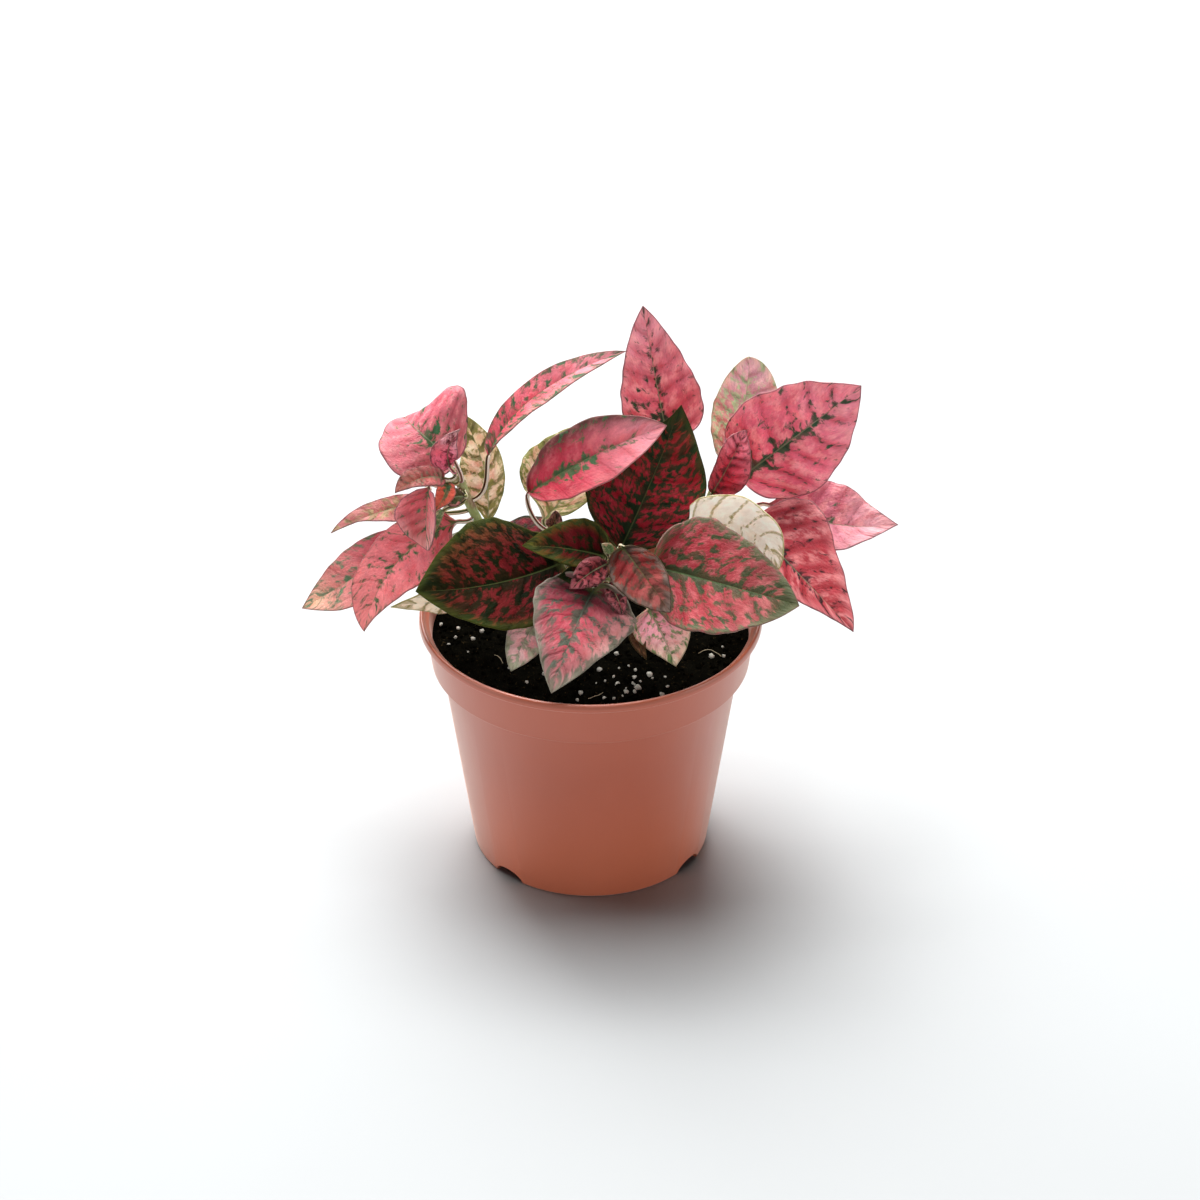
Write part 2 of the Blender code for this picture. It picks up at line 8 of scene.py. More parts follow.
import bpy
import numpy as np
from bpy.props import FloatProperty, FloatVectorProperty, IntProperty, PointerProperty
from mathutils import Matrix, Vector


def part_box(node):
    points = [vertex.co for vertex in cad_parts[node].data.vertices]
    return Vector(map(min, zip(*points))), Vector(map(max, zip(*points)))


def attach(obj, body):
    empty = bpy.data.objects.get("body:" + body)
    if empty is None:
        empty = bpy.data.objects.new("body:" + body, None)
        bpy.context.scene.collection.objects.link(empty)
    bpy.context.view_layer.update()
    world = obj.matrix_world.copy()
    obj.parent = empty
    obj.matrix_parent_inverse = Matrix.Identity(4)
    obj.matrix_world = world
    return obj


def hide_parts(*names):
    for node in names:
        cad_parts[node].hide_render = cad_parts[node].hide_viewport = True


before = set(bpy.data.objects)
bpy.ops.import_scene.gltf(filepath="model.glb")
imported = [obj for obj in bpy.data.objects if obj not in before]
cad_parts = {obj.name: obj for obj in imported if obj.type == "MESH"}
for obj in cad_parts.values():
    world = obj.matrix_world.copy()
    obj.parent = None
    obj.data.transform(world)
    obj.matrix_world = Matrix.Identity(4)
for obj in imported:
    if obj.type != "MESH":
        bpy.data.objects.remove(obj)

bl_info = {
    "name": "Potted Polka Dot Plant",
    "version": (1, 0, 0),
    "blender": (4, 5, 0),
    "location": "View3D > Sidebar > Pot Plant",
    "description": "Builds a variegated house plant in a plastic nursery pot",
    "category": "Add Mesh",
}

MM = 0.001
BODY = "root"
POT_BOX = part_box("pot")
MIX_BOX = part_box("potting_mix")


def shade(code):
    """A linear colour from its usual six-digit code."""
    parts = (int(code[place:place + 2], 16) / 255 for place in (0, 2, 4))
    return tuple(part / 12.92 if part <= 0.04045 else ((part + 0.055) / 1.055) ** 2.4
                 for part in parts)


def unit(vector):
    return vector / np.linalg.norm(vector, axis=-1, keepdims=True)


def smooth(value, low, high):
    """0 below low, 1 above high, and an easy slope between them."""
    t = np.clip((value - low) / (high - low), 0.0, 1.0)
    return t * t * (3 - 2 * t)


# ---------------------------------------------------------------- the plant's tables

# Stems: points of each route, then its radius at the foot and at the top.
STEMS = {
    "stem_left": ([(-20, 4, 74), (-20, 4, 87), (-22, 4, 94), (-28, 4, 106), (-39, 5, 127),
                   (-47, 8, 146)], 1.8, 1.4),
    "stem_centre": ([(-6, 6, 74), (-6, 6, 87), (-7, 5, 94), (-9, 3, 105), (-13, 0, 127)], 1.6, 1.1),
    "stem_back": ([(7, 16, 74), (7, 16, 87), (8, 17, 95), (12, 19, 112), (22, 20, 138)], 1.7, 1.1),
    "stem_right": ([(22, 8, 74), (22, 8, 87), (24, 9, 95), (29, 10, 108), (40, 11, 129),
                    (44, 12, 139)], 1.8, 1.3),
    "stem_front": ([(4, -3, 74), (4, -3, 87), (4, -4, 94), (5, -8, 105), (6, -14, 120)], 1.6, 1.2),
    "stem_side": ([(30, -3, 74), (30, -3, 87), (30, -4, 94), (31, -7, 103), (33, -10, 121)],
                  1.6, 1.1),
}

# A finish's colours: light and end are the pale patches at the base and the tip of a blade, deep is
# the painted shade that darkens its veins' grooves, bloom is the painted highlight on the
# swollen parts between them, dark is the green, line is the margin's thin outline and rim the dust
# beside it.
COLOURS = ("light", "end", "deep", "bloom", "dark", "line", "rim")

# What most leaves share. faces is where the upper side looks at the base and at the tip, fold is
# how far each half is raised in degrees, and curl bends its margin further. wave is the margin's
# ripple (height, number, shift), and a lower blunt makes a rounder tip. groove, bloom_share,
# dust and midrib say how strongly the painted shade in the grooves, the painted highlight between
# them, the rim colour and the rib_line show. shine is the gloss, and thin is how much light comes
# through. sunk darkens the base with painted shade where the leaves crowd at the crown, and
# coarse makes the patches larger. patches and tints are as in leaf below.
FACES = (0, -0.8, 0.5)
USUAL = dict(faces=(FACES,), fold=(10, 10), curl=(0, 0), wave=(0.6, 3, 0), blunt=0.95, point=0,
             groove=0.28, bloom_share=0.45, dust=0.3, midrib=0.6, rib_line="8d9a76", shine=0.3,
             thin=0.55, sunk=0, coarse=1, patches=(), tints=())


def finish(codes, **own):
    """A finish from its colours, in the order of COLOURS, and what isn't usual about it: green is
    the share of dark in mid blade, and rib, veins, edge and point add to it near the midrib, the
    side veins, the margin and the tip. fleck is the patches' size, quilt the bulges' height and
    pairs the number of side veins on each half."""
    return {**USUAL, **dict(zip(COLOURS, codes.split())), **own}


FINISHES = {
    "pink": finish("f0606e f08a90 cf8088 fbb4b2 3c5c3c 503438 e9a3a6",
                   green=0.13, rib=0.62, veins=0.26, edge=0.08, fleck=2.7, quilt=0.5),
    "coral": finish("f0606e f08a90 cf8088 f79c9c 466644 7a5450 d99a94",
                    green=0.16, rib=0.5, veins=0.12, edge=0.12, fleck=2.9, quilt=0.22, groove=0.1,
                    bloom_share=0.2, dust=0.1, shine=0.2, midrib=0.4, rib_line="6f9a62"),
    "crumpled": finish("b02c4c d0687c b8707c f4a8b0 4a2228 5d3d3c b87a80",
                       green=0.15, rib=0.4, veins=0.2, edge=0.1, fleck=2, quilt=4, pairs=9,
                       groove=0.6, bloom_share=0.6, shine=0.15),
    "crimson": finish("9c1a24 a02626 a87078 c04650 2c4824 2c2a14 43401e",
                      green=0.46, rib=0.55, veins=0.08, edge=0.35, point=0.25, fleck=3.1,
                      quilt=0.28, groove=0.4, bloom_share=0.2, shine=0.05, thin=0.2, midrib=0.4,
                      rib_line="5a6a40"),
    # Leaves deep in the crowded crown: their own dark colours, darkened further as painted shade.
    "deep": finish("551012 4f190f a87078 8c2c34 1c2808 44461a 585a20",
                   green=0.5, rib=0.55, veins=0.08, edge=0.4, point=0.25, fleck=2.9, quilt=0.28,
                   groove=0.4, bloom_share=0.2, dust=0.5, shine=0.04, thin=0.12, midrib=0.4,
                   rib_line="6a7a48"),
    "dusty": finish("b23c48 aa5e60 b08890 cf868a 4c5848 7d7a6c 97847e",
                    green=0.42, rib=0.5, veins=0.08, edge=0.36, point=0.1, fleck=2.8, quilt=0.32,
                    groove=0.35, bloom_share=0.2, dust=0.45, shine=0.22, thin=0.35, midrib=0.35,
                    rib_line="64806c"),
    "pale": finish("da868c e8b6b4 d8a0a0 f8d6ce 7a9c64 8d8468 d8c0a0",
                   green=0.2, rib=0.3, veins=0.2, edge=0.2, fleck=2.2, quilt=0.4, groove=0.5),
    "cream": finish("efdac6 e6d4b4 dcc0b0 fdf2e6 a2a862 7f8246 d9d3a4",
                    green=-0.1, rib=0.3, veins=0.85, edge=0.5, point=0.4, fleck=2, quilt=0.6,
                    groove=0.5, thin=0.75),
}
SLOTS = {"crimson": "leaf_dark", "deep": "leaf_dark", "dusty": "leaf_dark", "pale": "leaf_pale",
         "cream": "leaf_pale"}


def leaf(stem, seat, base, mid, tip, left, right, name, light=None, end=None, dark=None, **own):
    """A leaf's shape and look. seat is the height at which it leaves its stem, and base, mid and
    tip are on its midrib. left and right are half widths at its quarter points, seen from above
    with the tip ahead. Then come its finish, its own colours, and whatever else is its own: edging
    is the dark colour near the margin and stalk the stalk's. patches are (t, s, reach across, reach
    along, share of green) and tints are the same with a colour and how much of it, some
    of them painted shade, where t runs from -1 at the left margin to 1 at the right one, and s
    from 0 at the base to 1 at the tip."""
    codes = {key: code for key, code in (("light", light), ("end", end), ("dark", dark)) if code}
    return {**FINISHES[name], "finish": name, "stem": "stem_" + stem, "seat": seat,
            "route": np.array((base, mid, tip), float), "left": left, "right": right,
            **codes, **own}


LEAVES = {
    "leaf_top": leaf(
        "back", 130, (27, 20, 149), (22, 27, 173), (18, 32, 196), (14, 12, 7.5), (15, 12.5, 7.5),
        "pink", "d36072", "d58d9b", "15391b", fold=(14, 14), green=0.07, rib=0.55, veins=0.16,
        quilt=0.8, patches=[(-0.3, 0.12, 0.3, 0.08, 0.9), (-0.55, 0.28, 0.2, 0.06, 0.35)]),
    "leaf_long": leaf(
        "left", 133.5, (-35, 7, 151), (-19, 14, 170.5), (12, 20, 185), (5, 6, 5), (4, 6.5, 5),
        "coral", "d95b6d", "d78a95", "3f6444", faces=((-0.2, -0.6, 0.8),), fold=(10, 28),
        stalk="5c3a28", green=0.22, rib=0.25, edge=0.25,
        tints=[(0.9, 0.4, 0.3, 0.5, "c99a88", 0.5)]),
    "leaf_left_top": leaf(
        "left", 141.5, (-47, 6, 150), (-58, 6, 161), (-64, 22, 158), (15, 16, 12), (17, 21, 16),
        "pink", "be646e", "be646f", "2c5f37", faces=(FACES, (0, -0.7, 0.7)), fold=(8, 8),
        blunt=0.75, green=0.05, rib=0.5, quilt=0.7, patches=[(0.1, 0.35, 0.35, 0.12, 0.5)],
        tints=[(0.6, 0.75, 0.5, 0.3, "c8405a", 0.55)]),
    "leaf_left_young": leaf(
        "left", 145.5, (-48, 0, 151), (-48, -3, 160), (-44, -2, 167), (6, 6, 3), (3, 4, 2),
        "crumpled", "f77a9a", "f7dad9", "9c4552", fold=(25, 25)),
    "leaf_centre_pink": leaf(
        "centre", 125, (-21, 1, 140), (1, -3, 157), (26, 2, 166), (10.5, 12.5, 9.5),
        (10.5, 12, 8.5), "coral", "c23e52", "d88e98", "456844",
        faces=((0, -0.6, 0.8), (0, -0.7, 0.7)), fold=(28, 15), stalk="75693f", green=0.04, rib=0.6,
        edge=0, patches=[(0.2, 0.35, 0.25, 0.12, 0.6), (-0.95, 0.45, 0.25, 0.4, 0.35)],
        # The darkest tint, along the left margin, is painted shade where the folded edge curls away
        # from the light.
        tints=[(-1, 0.5, 0.34, 0.7, "30140e", 1), (0.5, 0.2, 0.4, 0.2, "c8384a", 0.5)]),
    "leaf_centre_pale": leaf(
        "centre", 121, (-16, 5, 127), (-5, 14, 138), (7, 24, 157), (18, 19, 13.5), (6, 8, 5),
        "cream", "e5c6a8", "dccaac", "939856", green=0.2),
    "leaf_centre_dark": leaf(
        "front", 116, (10, -8, 122), (21, 1, 145), (31, 9, 170), (19, 19, 9), (17, 21, 14),
        "crimson", "971f2e", "892625", "1f2e1b", faces=((-0.2, -0.8, 0.5), (0, -0.7, 0.7)),
        fold=(12, 12), edging="2c3a1c", coarse=0.8, sunk=0.4, green=0.5, point=0.5,
        tints=[(0, 1, 1.5, 0.12, "6a5a28", 0.7)]),
    "leaf_right_pale": leaf(
        "right", 130, (47, 24, 137), (53, 32, 154), (55, 38, 173), (9, 11, 9), (10, 12, 10.5),
        "pale", "c07688", "cea3b0", "b0c29a", fold=(12, 12), blunt=0.55,
        patches=[(-0.3, 0.45, 0.4, 0.3, 0.35)], tints=[(-0.8, 0.3, 0.5, 0.3, "c8785c", 0.5)]),
    "leaf_right_upper": leaf(
        "right", 134, (52, 10, 141), (73, 9, 160), (92, 8, 178), (20.5, 20, 14), (18, 17.5, 11),
        "pink", "dd657d", "e08c9e", "2d5337", faces=((0.2, -0.8, 0.5), (0.4, -0.8, 0.5)),
        wave=(1, 3, 0.2), green=0.06, rib=0.8, veins=0.56, quilt=1.3),
    "leaf_right_crinkled": leaf(
        "right", 137, (42, 6, 137), (48, 2, 152), (53, 4, 163), (4, 5, 5), (8, 8.5, 5), "crumpled",
        "ca354c", "e37c8d", "85424a", fold=(20, 20), green=0.12, quilt=2.6),
    "leaf_right_side": leaf(
        "right", 127, (61, 5, 133), (84, 1, 127.5), (106, 0, 128), (12.5, 14.5, 9), (10, 11, 6),
        "pink", "c5697e", "dca7ad", "385b3a", faces=((0, -0.6, 0.8),), fold=(12, 12),
        wave=(1, 3, 0.1), green=-0.05, rib=0.4, quilt=0.8,
        tints=[(-0.7, 0.3, 0.5, 0.4, "b04a60", 0.6)]),
    "leaf_right_low": leaf(
        "right", 121, (55, -4, 131), (73, -18, 117), (90, -28, 102), (21, 15.5, 9), (10, 9, 4.5),
        "pink", "b73a46", "b7444b", "161211", faces=((0.2, -0.7, 0.7), (0.5, -0.7, 0.5)),
        green=0.06, rib=0.7, tints=[(-0.7, 0.15, 0.5, 0.2, "8a2c38", 0.6)]),
    "leaf_right_underside": leaf(
        "side", 115, (33, -16, 135), (53, -20, 139), (64, -28, 127), (9, 9, 6), (11, 10, 7),
        "cream", "fff2e8", "fff0e4", "b3ba6f", faces=((0.1, 0.9, -0.1), (0.2, 0.9, 0.1)),
        fold=(0, 0), veins=0.45, edge=0.3, quilt=0.35),
    "leaf_front_right": leaf(
        "front", 112, (22, -28, 128), (46, -40, 128), (70, -48, 125), (20.5, 17.5, 11.5),
        (18.5, 18.5, 12.5), "coral", "b03b45", "914b4a", "3d4829",
        faces=((0, -0.8, 0.7), (0.3, -0.7, 0.6)), edging="666a4c", coarse=1.12, sunk=0.2,
        green=0.38, rib=0.85, edge=0.3, point=0.5, quilt=0.2,
        tints=[(0.2, 1, 0.8, 0.1, "a8a84e", 0.9), (-1, 0.6, 0.2, 0.5, "7d6a60", 0.6)]),
    "leaf_centre_small": leaf(
        "front", 117, (11, -30, 137), (19, -41, 131), (27, -49, 123), (6.5, 7.5, 5), (10, 9.5, 6.5),
        "crimson", "8a3232", "a05c58", "5c4034", edging="75625a", sunk=0.45, edge=0.4, green=0.3,
        quilt=1.4),
    "leaf_front": leaf(
        "front", 106, (1, -24, 116), (-6, -42, 110), (-13, -60, 98), (19, 15.5, 9),
        (17.5, 14.5, 8.5), "dusty", "903441", "855152", "4e5345",
        faces=((0, -0.6, 0.8), (0, -0.9, 0.5)), fold=(8, 8), edging="6c6656", coarse=1.25,
        # The first tint, dark at the base, is partly the leaf's own crimson and partly painted
        # shade.
        sunk=0.45, green=0.34, tints=[(0, 0.03, 1.4, 0.2, "7a1430", 0.8),
        (0.1, 0.45, 0.6, 0.3, "d8485c", 0.55), (-0.95, 0.45, 0.4, 0.4, "d09a92", 0.6),
        (0, 1, 1, 0.16, "b8807a", 0.6)]),
    "leaf_front_left": leaf(
        "front", 100, (-12, -20, 111), (-21, -32, 104), (-27, -42, 95), (8, 8, 5.5), (8.5, 7.5, 5),
        # Its pale colours are partly painted light, brightened against the shade that
        # leaf_left_dark and leaf_front cast on it.
        "dusty", "f7afb8", "f7c8c5", "9b9f84", faces=((0, -0.6, 0.8), (0, -0.9, 0.5)), fold=(8, 8),
        green=0.28),
    "leaf_centre_red": leaf(
        "front", 119, (5, -18, 126), (-8, -21, 131), (-23, -24, 134), (6, 6, 4), (11, 10, 6),
        "deep", "5a0f16", "541c13", "1a250d", faces=((0, -0.7, 0.7),), edging="3c4420", sunk=0.5,
        green=0.3, tints=[(0, 1, 1, 0.15, "7a8a3c", 0.8)]),
    "leaf_left_dark": leaf(
        "centre", 112, (-10, -14, 121), (-33, -26, 120), (-59, -34, 122), (17, 17, 10.5),
        (21, 23, 17), "deep", "6a181d", "5a2216", "121a06",
        faces=((0, -0.8, 0.7), (-0.4, -0.8, 0.5)), curl=(0, -30), wave=(0.8, 3, 0), edging="333b16",
        coarse=1.1, sunk=0.55, edge=0.5, tints=[(0.85, 0.6, 0.25, 0.5, "5c4a24", 0.6),
        (0, 1, 0.8, 0.1, "586a24", 0.8)]),
    "leaf_left_underside": leaf(
        "left", 100, (-32, -8, 106), (-50, -10, 104), (-69, -12, 102), (7, 7, 4), (7, 7, 4),
        "cream", "a8a070", "a8a070", "7a7a40", faces=((-0.2, 0.9, 0.2),), fold=(0, 0)),
    "leaf_left_low": leaf(
        "left", 128, (-46, 0, 129), (-67, -8, 117), (-78, -20, 97), (11, 12, 7), (10, 10.5, 9),
        "coral", "d76e77", "da807f", "355f3a", faces=((-0.2, -0.7, 0.6), (-0.3, -0.8, 0.5)),
        green=0.14),
    "leaf_left_far": leaf(
        "left", 131, (-57, 8, 126), (-76, 1, 111), (-100, -8, 99), (8, 11, 9), (6, 9.5, 7.5),
        "coral", "c15568", "ca8f86", "5b7e5f", faces=((0, -0.7, 0.7), (-0.3, -0.8, 0.5)),
        green=0.24, tints=[(-0.7, 0.2, 0.4, 0.2, "7c3a2c", 0.6),
        (0, 0.95, 1, 0.12, "e8c8a0", 0.7)]),
    "leaf_left_thin": leaf(
        "left", 135.5, (-54, 12, 129), (-70, 10, 128), (-90, 6, 121), (5, 5, 1), (4, 4.5, 4),
        "pink", "b26058", "b57870", "a8906a", faces=((0, -0.6, 0.8),), wave=(0.3, 3, 0),
        green=0.15),
    "leaf_left_hanging": leaf(
        "left", 139.5, (-55, -3, 145), (-56, -7, 135), (-56, -9, 123), (7, 8, 6), (9, 11, 7),
        "pink", "d9727a", "ebb8b2", "406f4a", fold=(65, 8), blunt=0.7, green=0.04, rib=0.3,
        quilt=0.8, tints=[(0.5, 0.5, 0.5, 0.6, "b02838", 0.6)]),
    "leaf_left_small": leaf(
        "left", 143.5, (-50, -5, 149), (-57, -13, 154), (-66, -16, 150), (4, 3.5, 2), (3.5, 4, 4),
        "crumpled", "ac554f", "b87864", "9e7f6d", faces=((0, -0.7, 0.7),), fold=(15, 15), green=0.1,
        quilt=2.2),
    "leaf_left_short": leaf(
        "left", 137.5, (-43, 0, 139), (-48, -3, 140), (-53, -6, 137), (3, 3.5, 1.5), (3, 4, 3),
        "pink", "8a3020", "7a5a22", "3c4416", faces=((0, -0.7, 0.7),), fold=(12, 12), green=0.4),
    "leaf_left_back": leaf(
        "left", 118, (-36, 16, 119), (-37, 24, 136), (-45, 32, 154), (7, 9, 5), (5, 7, 5.5),
        "cream", "d6baa4", "ebd9b8", "8a8448", fold=(8, 8), veins=1, green=0.1),
    "leaf_centre_bud": leaf(
        "centre", 125, (-13, -4, 129), (-12, -5, 133), (-12, -4, 136), (3, 3, 2), (3, 3, 2),
        "crumpled", "a07a58", "8a6a48", "3c2c1a", fold=(30, 30)),
    "leaf_front_pale": leaf(
        "side", 98, (20, -26, 110), (25, -34, 103), (29, -42, 97), (9, 10, 7), (9, 7.5, 4), "pale",
        "e59aa8", "eaccb9", "6f8954", faces=((0, -0.7, 0.7), (0, -0.9, 0.5)), fold=(12, 12)),
    "leaf_front_bud": leaf(
        "front", 113, (3, -20, 122), (-4, -23, 122), (-11, -26, 123), (5, 5, 3), (5, 5, 3),
        "crimson", "5a1018", "5a1618", "1a2a12", fold=(20, 20)),
    "leaf_rear_top": leaf(
        "back", 132, (22, 30, 137), (25, 50, 136), (26, 69, 124), (8, 10, 6), (8, 10, 6), "pink",
        faces=((0, 0.1, 1), (0, 0.6, 0.8))),
    "leaf_rear_left": leaf(
        "back", 125, (4, 32, 126), (-3, 49, 127), (-10, 66, 119), (9, 11, 7), (9, 11, 7), "crimson",
        "7c1822", "7c1c20", faces=((0, 0.1, 1), (0, 0.6, 0.8))),
    "leaf_rear_right": leaf(
        "right", 124, (50, 20, 131), (67, 36, 135), (84, 52, 127), (11, 13, 8), (11, 13, 8), "pink",
        faces=((0, 0, 1), (0.4, 0.3, 0.9)), green=0.2),
    "leaf_rear_low_left": leaf(
        "left", 106, (-34, 14, 109), (-52, 24, 104), (-68, 32, 96), (7, 9, 6), (7, 9, 6), "dusty",
        faces=((0, 0, 1), (-0.4, 0.3, 0.9))),
    "leaf_rear_low_mid": leaf(
        "centre", 100, (-12, 20, 103), (-24, 38, 103), (-36, 55, 93), (9, 11, 7), (9, 11, 7),
        "crimson", "4a1018", "4a1018", "141e0c", faces=((0, 0, 1), (-0.3, 0.5, 0.8)), green=0.3),
    "leaf_side_low_right": leaf(
        "side", 105, (42, -4, 108), (60, 0, 107), (78, 6, 98), (8, 10, 6), (8, 10, 6), "dusty",
        faces=((0, 0, 1), (0.5, 0, 0.9))),
    "leaf_rear_low_right": leaf(
        "back", 100, (20, 30, 104), (33, 48, 105), (44, 66, 96), (9, 11, 7), (9, 11, 7), "crimson",
        "7c1822", "7c1c20", faces=((0, 0, 1), (0.3, 0.5, 0.8))),
}

# Crumpled young leaves in the crowns, and a dry one low at the front.
YOUNG_LEAVES = {
    "young_crown": leaf(
        "front", 118, (6, -21, 125), (0, -27, 125), (-7, -31, 121), (4, 5, 3.5), (4, 5, 3.5),
        "crumpled", "801a22", "b0505a", "3a1210", wave=(1.2, 5, 0.2), green=0.2),
    "young_crown_low": leaf(
        "front", 113, (6, -26, 120), (9, -31, 118), (11, -35, 113), (3, 3.5, 2.5), (3, 3.5, 2.5),
        "crumpled", "801a22", "944048", "3a1210", wave=(0.9, 5, 0.5)),
    "young_crown_tip": leaf(
        "front", 119, (7, -18, 127), (6, -21, 131), (4, -23, 134), (1.6, 2, 1.4), (1.6, 2, 1.4),
        "pale", "c9b49a", "b9b08a", green=0.3),
    "young_left": leaf(
        "left", 141, (-49, -2, 146), (-50, -8, 144), (-53, -11, 140), (3.5, 3.5, 2), (3, 3, 2),
        "coral", "d4543c", "c8583e", wave=(0.8, 4, 0.3), green=0.1, quilt=3),
    "young_left_low": leaf(
        "left", 135, (-50, -7, 138), (-53, -10, 135), (-54, -11, 129), (1.6, 1.8, 1.2),
        (1.6, 1.8, 1.2), "pale", "d8c69a", "cdb98a", green=0.25),
    "dry_leaf": leaf(
        "side", 96, (16, -24, 104), (16, -33, 103), (19, -41, 99), (2.6, 3, 2), (2.6, 3, 2),
        "crimson", "7a4a34", "8a5a40", "4a3020", wave=(0.8, 4, 0.1), green=0.2),
}


# ---------------------------------------------------------------- settings

class PotSettings(bpy.types.PropertyGroup):
    height: FloatProperty(name="Height", description="From the floor to the top of the lip",
                          default=POT_BOX[1].z, unit='LENGTH')
    lip_radius: FloatProperty(name="Lip radius", description="Outer radius of the rolled lip",
                              default=POT_BOX[1].x, unit='LENGTH')
    wall: FloatProperty(name="Wall", description="Thickness of the cup's wall",
                        default=1.4 * MM, unit='LENGTH')
    colour: FloatVectorProperty(name="Plastic", description="Colour of the moulded plastic",
                                default=shade("ad573f"), subtype='COLOR')
    steps: IntProperty(name="Steps", description="Points round the cup", default=144)


class MixSettings(bpy.types.PropertyGroup):
    colour: FloatVectorProperty(name="Mix", description="Colour of the damp potting mix",
                                default=shade("0b0a07"), subtype='COLOR')
    grain_colour: FloatVectorProperty(name="Grains", description="Colour of the perlite grains",
                                      default=shade("b0ada3"), subtype='COLOR')
    crumbs: IntProperty(name="Crumbs", description="Loose crumbs of peat and bark", default=900)
    grains: IntProperty(name="Grains", description="Perlite grains on top", default=130)
    seed: IntProperty(name="Seed", description="Start of the scattered places", default=7)


class PlantSettings(bpy.types.PropertyGroup):
    thickness: FloatProperty(name="Blade thickness", description="Thickness of a leaf blade",
                             default=0.42 * MM, unit='LENGTH')
    stalk_radius: FloatProperty(name="Stalk radius", description="Radius of a leaf stalk",
                                default=0.62 * MM, unit='LENGTH')
    vein_pairs: IntProperty(name="Vein pairs", description="Side veins on each half of a blade",
                            default=6)
    stem_colour: FloatVectorProperty(name="Stem", description="Colour of the fleshy stems",
                                     default=shade("8d9a5c"), subtype='COLOR')
    stalk_colour: FloatVectorProperty(name="Stalk", description="Colour of the leaf stalks",
                                      default=shade("848b54"), subtype='COLOR')


class StageSettings(bpy.types.PropertyGroup):
    floor_colour: FloatVectorProperty(name="Floor", description="Colour of the floor",
                                      default=(0.49, 0.505, 0.51), subtype='COLOR')
    key_power: FloatProperty(name="Key light", description="Power of the panel behind and above",
                             default=74)
    fill_power: FloatProperty(name="Fill lights", description="Power of the low soft lights",
                              default=6)
    elevation: FloatProperty(name="Camera elevation", description="Angle of the view above level",
                             default=math.radians(32), subtype='ANGLE')
    distance: FloatProperty(name="Camera distance", description="From the camera to its target",
                            default=1394 * MM, unit='LENGTH')
    lens: FloatProperty(name="Lens", description="Focal length in millimetres", default=120)


class PotPlantSettings(bpy.types.PropertyGroup):
    pot: PointerProperty(type=PotSettings)
    mix: PointerProperty(type=MixSettings)
    plant: PointerProperty(type=PlantSettings)
    stage: PointerProperty(type=StageSettings)


def settings():
    return bpy.context.scene.pot_plant


# ---------------------------------------------------------------- modelling helpers

def deselect():
    for obj in bpy.context.selected_objects:
        obj.select_set(False)


def pick(obj):
    """Makes this object the only one that an operator acts on."""
    deselect()
    obj.select_set(True)
    bpy.context.view_layer.objects.active = obj


def name_piece(name):
    """Names the object that was just added, and its data."""
    obj = bpy.context.object
    obj.name = obj.data.name = name
    return obj


def apply_modifier(obj, kind, name, **values):
    modifier = obj.modifiers.new(name, kind)
    for key, value in values.items():
        setattr(modifier, key, value)
    bpy.context.view_layer.objects.active = obj
    bpy.ops.object.modifier_apply(modifier=name)


def shade_smooth(obj, angle=None):
    pick(obj)
    if angle is None:
        bpy.ops.object.shade_smooth()
    else:
        bpy.ops.object.shade_smooth_by_angle(angle=math.radians(angle))


def grid_piece(name, columns, rows):
    """A flat grid from -1 to 1 both ways, still to be shaped, and its points."""
    deselect()
    bpy.ops.mesh.primitive_grid_add(x_subdivisions=columns, y_subdivisions=rows, size=2,
                                    calc_uvs=False)
    obj = name_piece(name)
    points = np.empty(len(obj.data.vertices) * 3, np.float32)
    obj.data.vertices.foreach_get("co", points)
    return obj, points.reshape(-1, 3)


def edit_all():
    bpy.ops.object.mode_set(mode='EDIT')
    bpy.ops.mesh.select_all(action='SELECT')


def follow_profile(profile, extrude):
    """Extrudes the selected ring from point to point of a (radius, z) profile in millimetres."""
    for (old, low), (new, high) in zip(profile, profile[1:]):
        extrude(TRANSFORM_OT_translate={"value": (0, 0, (high - low) * MM)})
        bpy.ops.transform.resize(value=(new / old, new / old, 1), center_override=(0, 0, high * MM))


def end_closed():
    """Turns all faces of a closed body outwards and ends its edit."""
    bpy.ops.mesh.select_all(action='SELECT')
    bpy.ops.mesh.normals_make_consistent(inside=False)
    bpy.ops.object.mode_set(mode='OBJECT')


def make_tubes(name, lines, mat, radius, resolution, angle):
    """Round tubes as one mesh, from lines of places in millimetres, each with its thickness."""
    deselect()
    bpy.ops.curve.primitive_nurbs_path_add()
    curve = name_piece(name).data
    curve.splines.clear()
    for places, thickness in lines:
        spline = curve.splines.new('POLY')
        spline.points.add(len(places) - 1)
        for point, place, width in zip(spline.points, places, thickness):
            point.co = (*(place * MM), 1)
            point.radius = width
    curve.bevel_depth = radius * MM
    curve.bevel_resolution = resolution
    curve.use_fill_caps = True
    bpy.ops.object.convert(target='MESH')
    obj = bpy.context.object
    obj.data.materials.clear()
    obj.data.materials.append(mat)
    shade_smooth(obj, angle)
    return obj


def finish_piece(obj, slot, *nodes):
    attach(obj, BODY)
    if nodes:
        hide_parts(*nodes)


# ---------------------------------------------------------------- node helpers

def rgba(colour):
    """A colour as its socket takes it, from a code or from three values."""
    return (*(shade(colour) if isinstance(colour, str) else colour), 1)


def add(tree, kind, inputs=(), **values):
    """A node with its settings, and its inputs given as values or as other nodes' outputs."""
    node = tree.nodes.new("ShaderNode" + kind)
    for key, value in values.items():
        setattr(node, key, value)
    for key, value in dict(inputs).items():
        if isinstance(value, bpy.types.NodeSocket):
            tree.links.new(value, node.inputs[key])
        else:
            node.inputs[key].default_value = value
    return node


